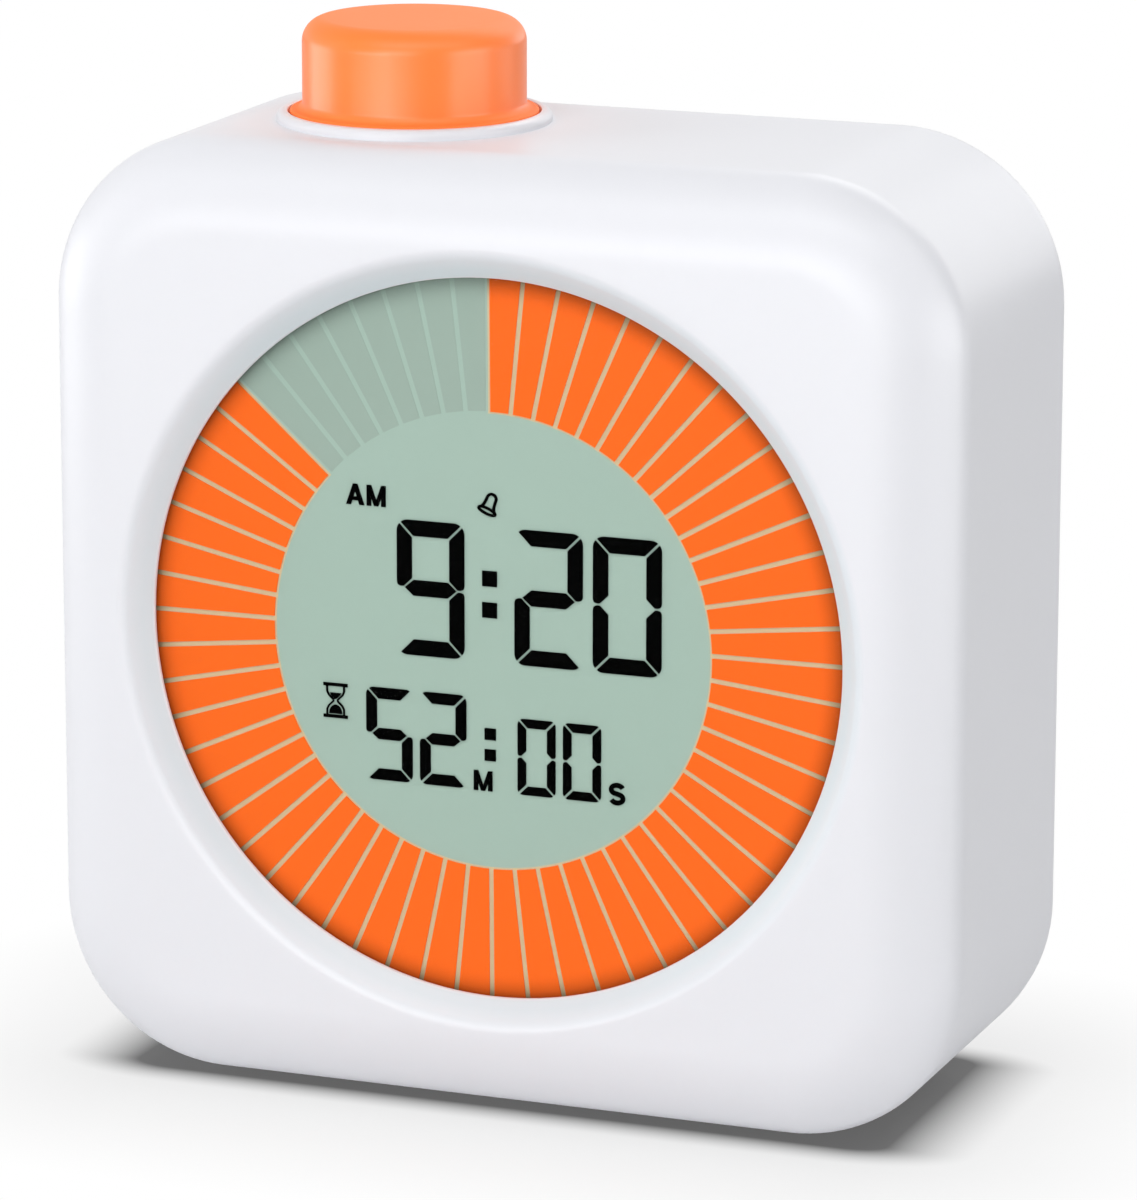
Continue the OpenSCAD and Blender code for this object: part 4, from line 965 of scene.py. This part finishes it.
def minute_plates(first, last):
    """Plates clockwise from twelve: the ring's arc between two lines, then the disc's arc back."""
    a = np.radians(360 / MINUTES * (np.arange(first, last)[:, None] + [0, 1]) + LINE_TURN)
    along = np.stack([np.sin(a), np.cos(a)], axis=-1)
    beside = np.stack([np.cos(a), -np.sin(a)], axis=-1) * np.array([[1], [-1]]) * LINE_W / 2
    start = beside + [0, LINES_UP]
    outer, inner = np.array([-ART_X, -ART_UP]), np.array([DISC_X, DISC_UP])
    rim = arc_between(on_circle(start, along, outer, RING_R), outer, RING_R, 7)
    foot = arc_between(on_circle(start, along, inner, DISC_R), inner, DISC_R, 5)
    return list(np.concatenate([rim, foot[:, ::-1]], axis=1))


inlays("lit_plates", minute_plates(0, MINUTES_LEFT), "orange_ink", ["lit_segments"])
inlays("unlit_plates", minute_plates(MINUTES_LEFT, MINUTES), "pale_ink", ["unlit_segments"],
       INK_BACK - TINT_T)

# %% [markdown]
# ## Letters and signs
# The dial also shows the letters AM, M and S, a small bell and an hourglass, for the morning,
# minutes, seconds, an alarm and a running countdown. Each is drawn as a few ribbons of even
# width, which is how such small signs look on a real display.

# %% Ribbons and letters
def ribbon(path, width):
    """Outline of a band along an open path: the path shifted to one side, then to the other."""
    path = np.asarray(path, float)
    along = np.gradient(path, axis=0)
    along /= np.linalg.norm(along, axis=1)[:, None]
    side = np.stack([-along[:, 1], along[:, 0]], axis=1) * width / 2
    return np.vstack([path + side, (path - side)[::-1]])


def two_slants(x0, x1, at_ends, at_middle, end_w, half_w):
    """Two bands that slant from both ends of a letter to its middle, at the two heights."""
    mid = (x0 + x1) / 2
    return [np.array([[x, at_ends], [x + d * end_w, at_ends],
                      [mid + d * half_w, at_middle], [mid - d * half_w, at_middle]])
            for x, d in ((x0, 1), (x1, -1))]


def letter_m(x0, x1, z0, z1, s):
    """Two upright bands and two slanting ones that meet at the foot of the middle."""
    uprights = [ribbon([[x, z0], [x, z1]], s) for x in (x0 + s / 2, x1 - s / 2)]
    return uprights + two_slants(x0, x1, z1, z0, s, s * 0.45)


def letter_a(x0, x1, z0, z1, s):
    """Two legs that meet at the top, and a bar across them."""
    height = z0 + (z1 - z0) * 0.3
    across = ribbon([[x0 + s * 1.2, height], [x1 - s * 1.2, height]], s * 0.8)
    return two_slants(x0, x1, z0, z1, s * 1.08, s * 0.5) + [across]


def letter_s(x0, x1, z0, z1, s):
    """Upper and lower bowl joined by a slanting spine."""
    x, z = (x0 + x1) / 2, (z0 + z1) / 2
    wide, high = (x1 - x0 - s) / 2, (z1 - z0 - s) / 4
    upper = bend([x, z + high], [wide, high], 20, 230, 16)
    lower = bend([x, z - high], [wide, high], 50, -160, 16)
    return [ribbon(np.vstack([upper, lower]), s)]


letters = (letter_a(-14.65, -12.78, 11.78, 13.8, 0.46)
           + letter_m(-12.53, -10.58, 11.78, 13.8, 0.46)
           + letter_m(-1.64, 0.27, -15.06, -13.1, 0.45)
           + letter_s(12.1, 13.76, -15.17, -12.97, 0.47))
print("letters drawn from", len(letters), "plates")

# %% Bell and hourglass
FLARE = [[0.52, 0.2], [0.58, -0.25], [0.72, -0.6], [0.98, -0.86]]
GLASS = np.array([[0.78, 1.5], [0.78, 0.85], [0.62, 0.5], [0.2, 0.08],
                  [0.2, -0.08], [0.62, -0.5], [0.78, -0.85], [0.78, -1.5]])
SAND = np.array([[-0.5, 0.72], [0.5, 0.72], [0.42, 0.5], [0.06, 0.14], [-0.06, 0.14], [-0.42, 0.5]])


def placed(outlines, x, z, turn=0.0, wide=1.0, high=1.0):
    """Outlines stretched, turned by an angle in degrees and moved to a place on the dial."""
    c, s = math.cos(math.radians(turn)), math.sin(math.radians(turn))
    return [np.asarray(o) * [wide, high] @ np.array([[c, s], [-s, c]]) + [x, z] for o in outlines]


def bell():
    """Dome and flared sides of a bell, a flat oval mouth and its edge."""
    right = np.vstack([bend([0, 0.62], [0.5, 0.52], 90, 0, 9), FLARE])
    mouth = [bend([0, -0.86], [0.98, 0.3], a, a + 180, 14) for a in (0, 180)]
    return [ribbon(right, 0.31), ribbon(right * [-1, 1], 0.31)] + [ribbon(m, 0.3) for m in mouth]


def hourglass():
    """Two end bars, a glass drawn in two bent lines, the sand above the neck and the heap below."""
    ends = [ribbon([[-1.12, z], [1.12, z]], 0.3) for z in (-1.5, 1.5)]
    heap = bend([0, -1.25], [0.6, 0.85], 0, 180, 15)
    return ends + [ribbon(GLASS, 0.17), ribbon(GLASS * [-1, 1], 0.17), SAND, heap]


signs = (placed(bell(), 0.02, 12.95, turn=-22, wide=0.92, high=0.87)
         + placed(hourglass(), -15.88, -7.61, wide=1.12, high=1.04))
inlays("dial_signs", letters + signs, "black_ink", [])

# %% [markdown]
# ## Painting the remaining solids
# All other parts keep their exact solid shape and get the finish of their material. The names on
# the left are the finishes, and the lists are the parts that are made of them.

# %% Paint the solids
paint = {
    "clear_lens": ["dial_lens"],
    "film_finish": ["display_film"],
    "display_glass": ["front_glass", "rear_glass"],
    "white_sheet": ["reflector_sheet"],
    "inner_plastic": ["display_tray", "volume_switch"],
    "soft_rubber": ["contact_strip"],
    "circuit_board": ["main_board", "encoder_board", "key_board"],
    "black_plastic": ["controller_blob", "key_switches", "sounder", "encoder_body", "volume_lever"],
    "screw_steel": ["tray_screws", "board_screws", "encoder_screws", "key_screws", "case_screws",
                    "clock_crystal"],
    "capacitor_can": ["capacitors"],
    "socket_plastic": ["board_sockets", "encoder_plunger"],
    "shaft_metal": ["encoder_shaft"],
    "bushing_brass": ["encoder_bushing"],
    "contact_metal": ["encoder_dome", "battery_plates", "battery_springs"],
    "ribbon_plastic": ["encoder_ribbon", "key_ribbon"],
    "wire_plastic": ["sounder_leads", "battery_leads"],
    "cell_sleeve": ["battery_cells"],
}
for finish, names in paint.items():
    for name in names:
        for place in nodes[name].material_slots:
            place.material = finishes[finish]
print("painted", sum(len(names) for names in paint.values()), "solids")

# %% [markdown]
# ## Floor and surroundings
# The clock stands on a pale floor that runs into a white room. The camera, mirrors and clear
# parts see pure white there, while the room lights the object only dimly. In the photograph the
# shadow is an even dark patch under the case with a narrow soft edge and a wide faint halo. Large
# lamps alone smear such an edge, so the floor works the patch out from the distance to a
# rectangle, and adds a share of the light that really falls on it.

# %% Floor
PATCH_LOW, PATCH_HIGH, PATCH_R = (-37.0, -9.4), (33.3, 17.8), 2.0
PATCH_EDGE, EDGE_DARK, EDGE_POWER = 4.5, 0.7, 1.6
PATCH_HALO, HALO_DARK, HALO_POWER = 34.0, 0.165, 1.3


def shadow_patch_distance(place, across=1.0):
    """Distance on the floor from the painted shadow's rectangle; the part along X counts by a
    share.
    """
    x, y = part_of(place, "X"), part_of(place, "Y")
    dx, dy = (at.math("MAXIMUM", at.math("MAXIMUM", low * MM - at, at - high * MM), 0.0)
              for at, low, high in zip((x, y), PATCH_LOW, PATCH_HIGH))
    dx = dx * across
    return dx.math("POWER", dx * dx + dy * dy, 0.5)


def make_floor(size, real):
    """A square sheet, seen as white less a painted shadow: shares of the patch's edge and halo,
    each to a power.
    """
    corners = np.array([[-1, -1, 0], [1, -1, 0], [1, 1, 0], [-1, 1, 0]]) * size / 2
    mesh = bpy.data.meshes.new("floor")
    mesh.from_pydata(corners.tolist(), [], [(0, 1, 2, 3)])
    floor = show("floor", mesh)
    shader, place = shade("floor_paper", 0.9, Specular_IOR_Level=0.1)
    edge = 1 - ramp(shadow_patch_distance(place, 0.5), PATCH_R, PATCH_R + PATCH_EDGE)
    halo = 1 - ramp(shadow_patch_distance(place), PATCH_R, PATCH_R + PATCH_HALO)
    paper = mixed(noise(place, 3), (0.9, 0.9, 0.9, 1), (0.91, 0.91, 0.91, 1))
    # The floor's own colour is painted up to half as dark at the patch's edge: painted shade, so
    # less light bounces up under the case.
    feed(mixed(edge * 0.5, paper, BLACK), shader, "Base Color")
    # What the camera sees is a painted shadow: dark at the patch's edge, fainter in its halo.
    painted_shadow = (1 - edge.math("POWER", edge, EDGE_POWER) * EDGE_DARK
            - halo.math("POWER", halo, HALO_POWER) * HALO_DARK)
    dark, white = (place.make("ShaderNodeEmission", {"Color": shown, "Strength": 1.0})
                   for shown in (BLACK, PURE_WHITE))
    drawn = place.make("ShaderNodeMixShader", {0: painted_shadow, 1: dark, 2: white})
    body = Wire(place.tree, shader.outputs[0])
    seen = place.make("ShaderNodeLightPath", output="Is Camera Ray") * (1 - halo * real)
    shown = place.make("ShaderNodeMixShader", {0: seen, 1: body, 2: drawn})
    feed(shown, place.tree.nodes["Material Output"], "Surface")
    mesh.materials.append(finishes["floor_paper"])
    return floor


floor = make_floor(8.0, real=0.15)
print("floor", tuple(floor.dimensions), "m")

# %% Room
def make_room(fill):
    """A world that the camera, mirrors and clear parts see white, and that lights by fill."""
    world = bpy.data.worlds.new("room")
    bpy.context.scene.world = world
    world.use_nodes = True
    start = Wire(world.node_tree)
    seen, mirrored, through = (start.make("ShaderNodeLightPath", output=f"Is {kind} Ray")
                               for kind in ("Camera", "Glossy", "Transmission"))
    rays = seen + mirrored + through
    bright = rays.math("MINIMUM", rays, 1.0)
    back = world.node_tree.nodes["Background"]
    back.inputs["Color"].default_value = PURE_WHITE
    feed(fill + bright * (1 - fill), back, "Strength")


ROOM_FILL = 0.3
make_room(ROOM_FILL)
print("room fill", ROOM_FILL)

# %% [markdown]
# ## Lamps
# Large soft lamps stand in for studio boxes: one in front, one high up, one on each side and one
# behind. A large lamp close by gives slow changes of brightness over the rounded edges and no
# hard shadow. Satin plastic also mirrors the room a little, so a few smaller boxes are there for
# reflections alone: they draw the bright bands on the knob and at the corners.

# %% Lamps
def soft_lamp(name, place, aim, wide, high, power):
    """A rectangular lamp at a place in metres, facing a point."""
    lamp = bpy.data.lights.new(name, "AREA")
    lamp.shape = "RECTANGLE"
    lamp.size, lamp.size_y, lamp.energy = wide, high, power
    holder = show(name, lamp)
    put_at(holder, place, facing(np.subtract(place, aim)))
    return holder


BODY = (0, 0, 0.05)
lamps = [
    soft_lamp("front_lamp", (0.1, -1.2, 0.35), BODY, 0.9, 0.6, 3.6),
    soft_lamp("high_lamp", (0.05, -0.75, 1.0), BODY, 1.0, 0.4, 4.35),
    soft_lamp("left_lamp", (-0.9, -0.25, 0.35), BODY, 0.5, 0.7, 2.75),
    soft_lamp("right_lamp", (0.7, -0.3, 0.9), BODY, 0.6, 0.6, 1.75),
    soft_lamp("back_lamp", (0.1, 0.8, 0.8), BODY, 0.8, 0.5, 3.3),
]
boxes = [
    soft_lamp("low_glow", (-0.55, -1.4, 0.12), (0, 0, 0.09), 1.2, 0.2, 4.0),
    soft_lamp("left_box", (-0.38, -0.01, 0.06), (0, 0, 0.06), 0.24, 0.12, 0.25),
    soft_lamp("front_box", (-0.05, -0.38, 0.1), (0, 0, 0.1), 0.26, 0.2, 0.25),
    soft_lamp("right_box", (0.38, -0.06, 0.1), (0, 0, 0.1), 0.32, 0.2, 0.65),
    soft_lamp("corner_box", (0.26, 0.8, 0.26), (0.04, 0, 0.09), 0.45, 0.36, 0.76),
    soft_lamp("end_box", (0.33, 0.25, 0.06), (0, 0, 0.09), 0.2, 0.1, 0.08),
]
for box in boxes:
    box.visible_diffuse = False
    box.visible_camera = False
bpy.data.objects["left_lamp"].visible_glossy = False
print("lamps:", ", ".join(f"{lamp.name} {lamp.data.energy:g} W" for lamp in lamps + boxes))

# %% [markdown]
# ## Colours as they are
# The Standard view shows a surface as bright as it is lit, with nothing added.

# %% Finish
bpy.context.scene.view_settings.view_transform = "Standard"
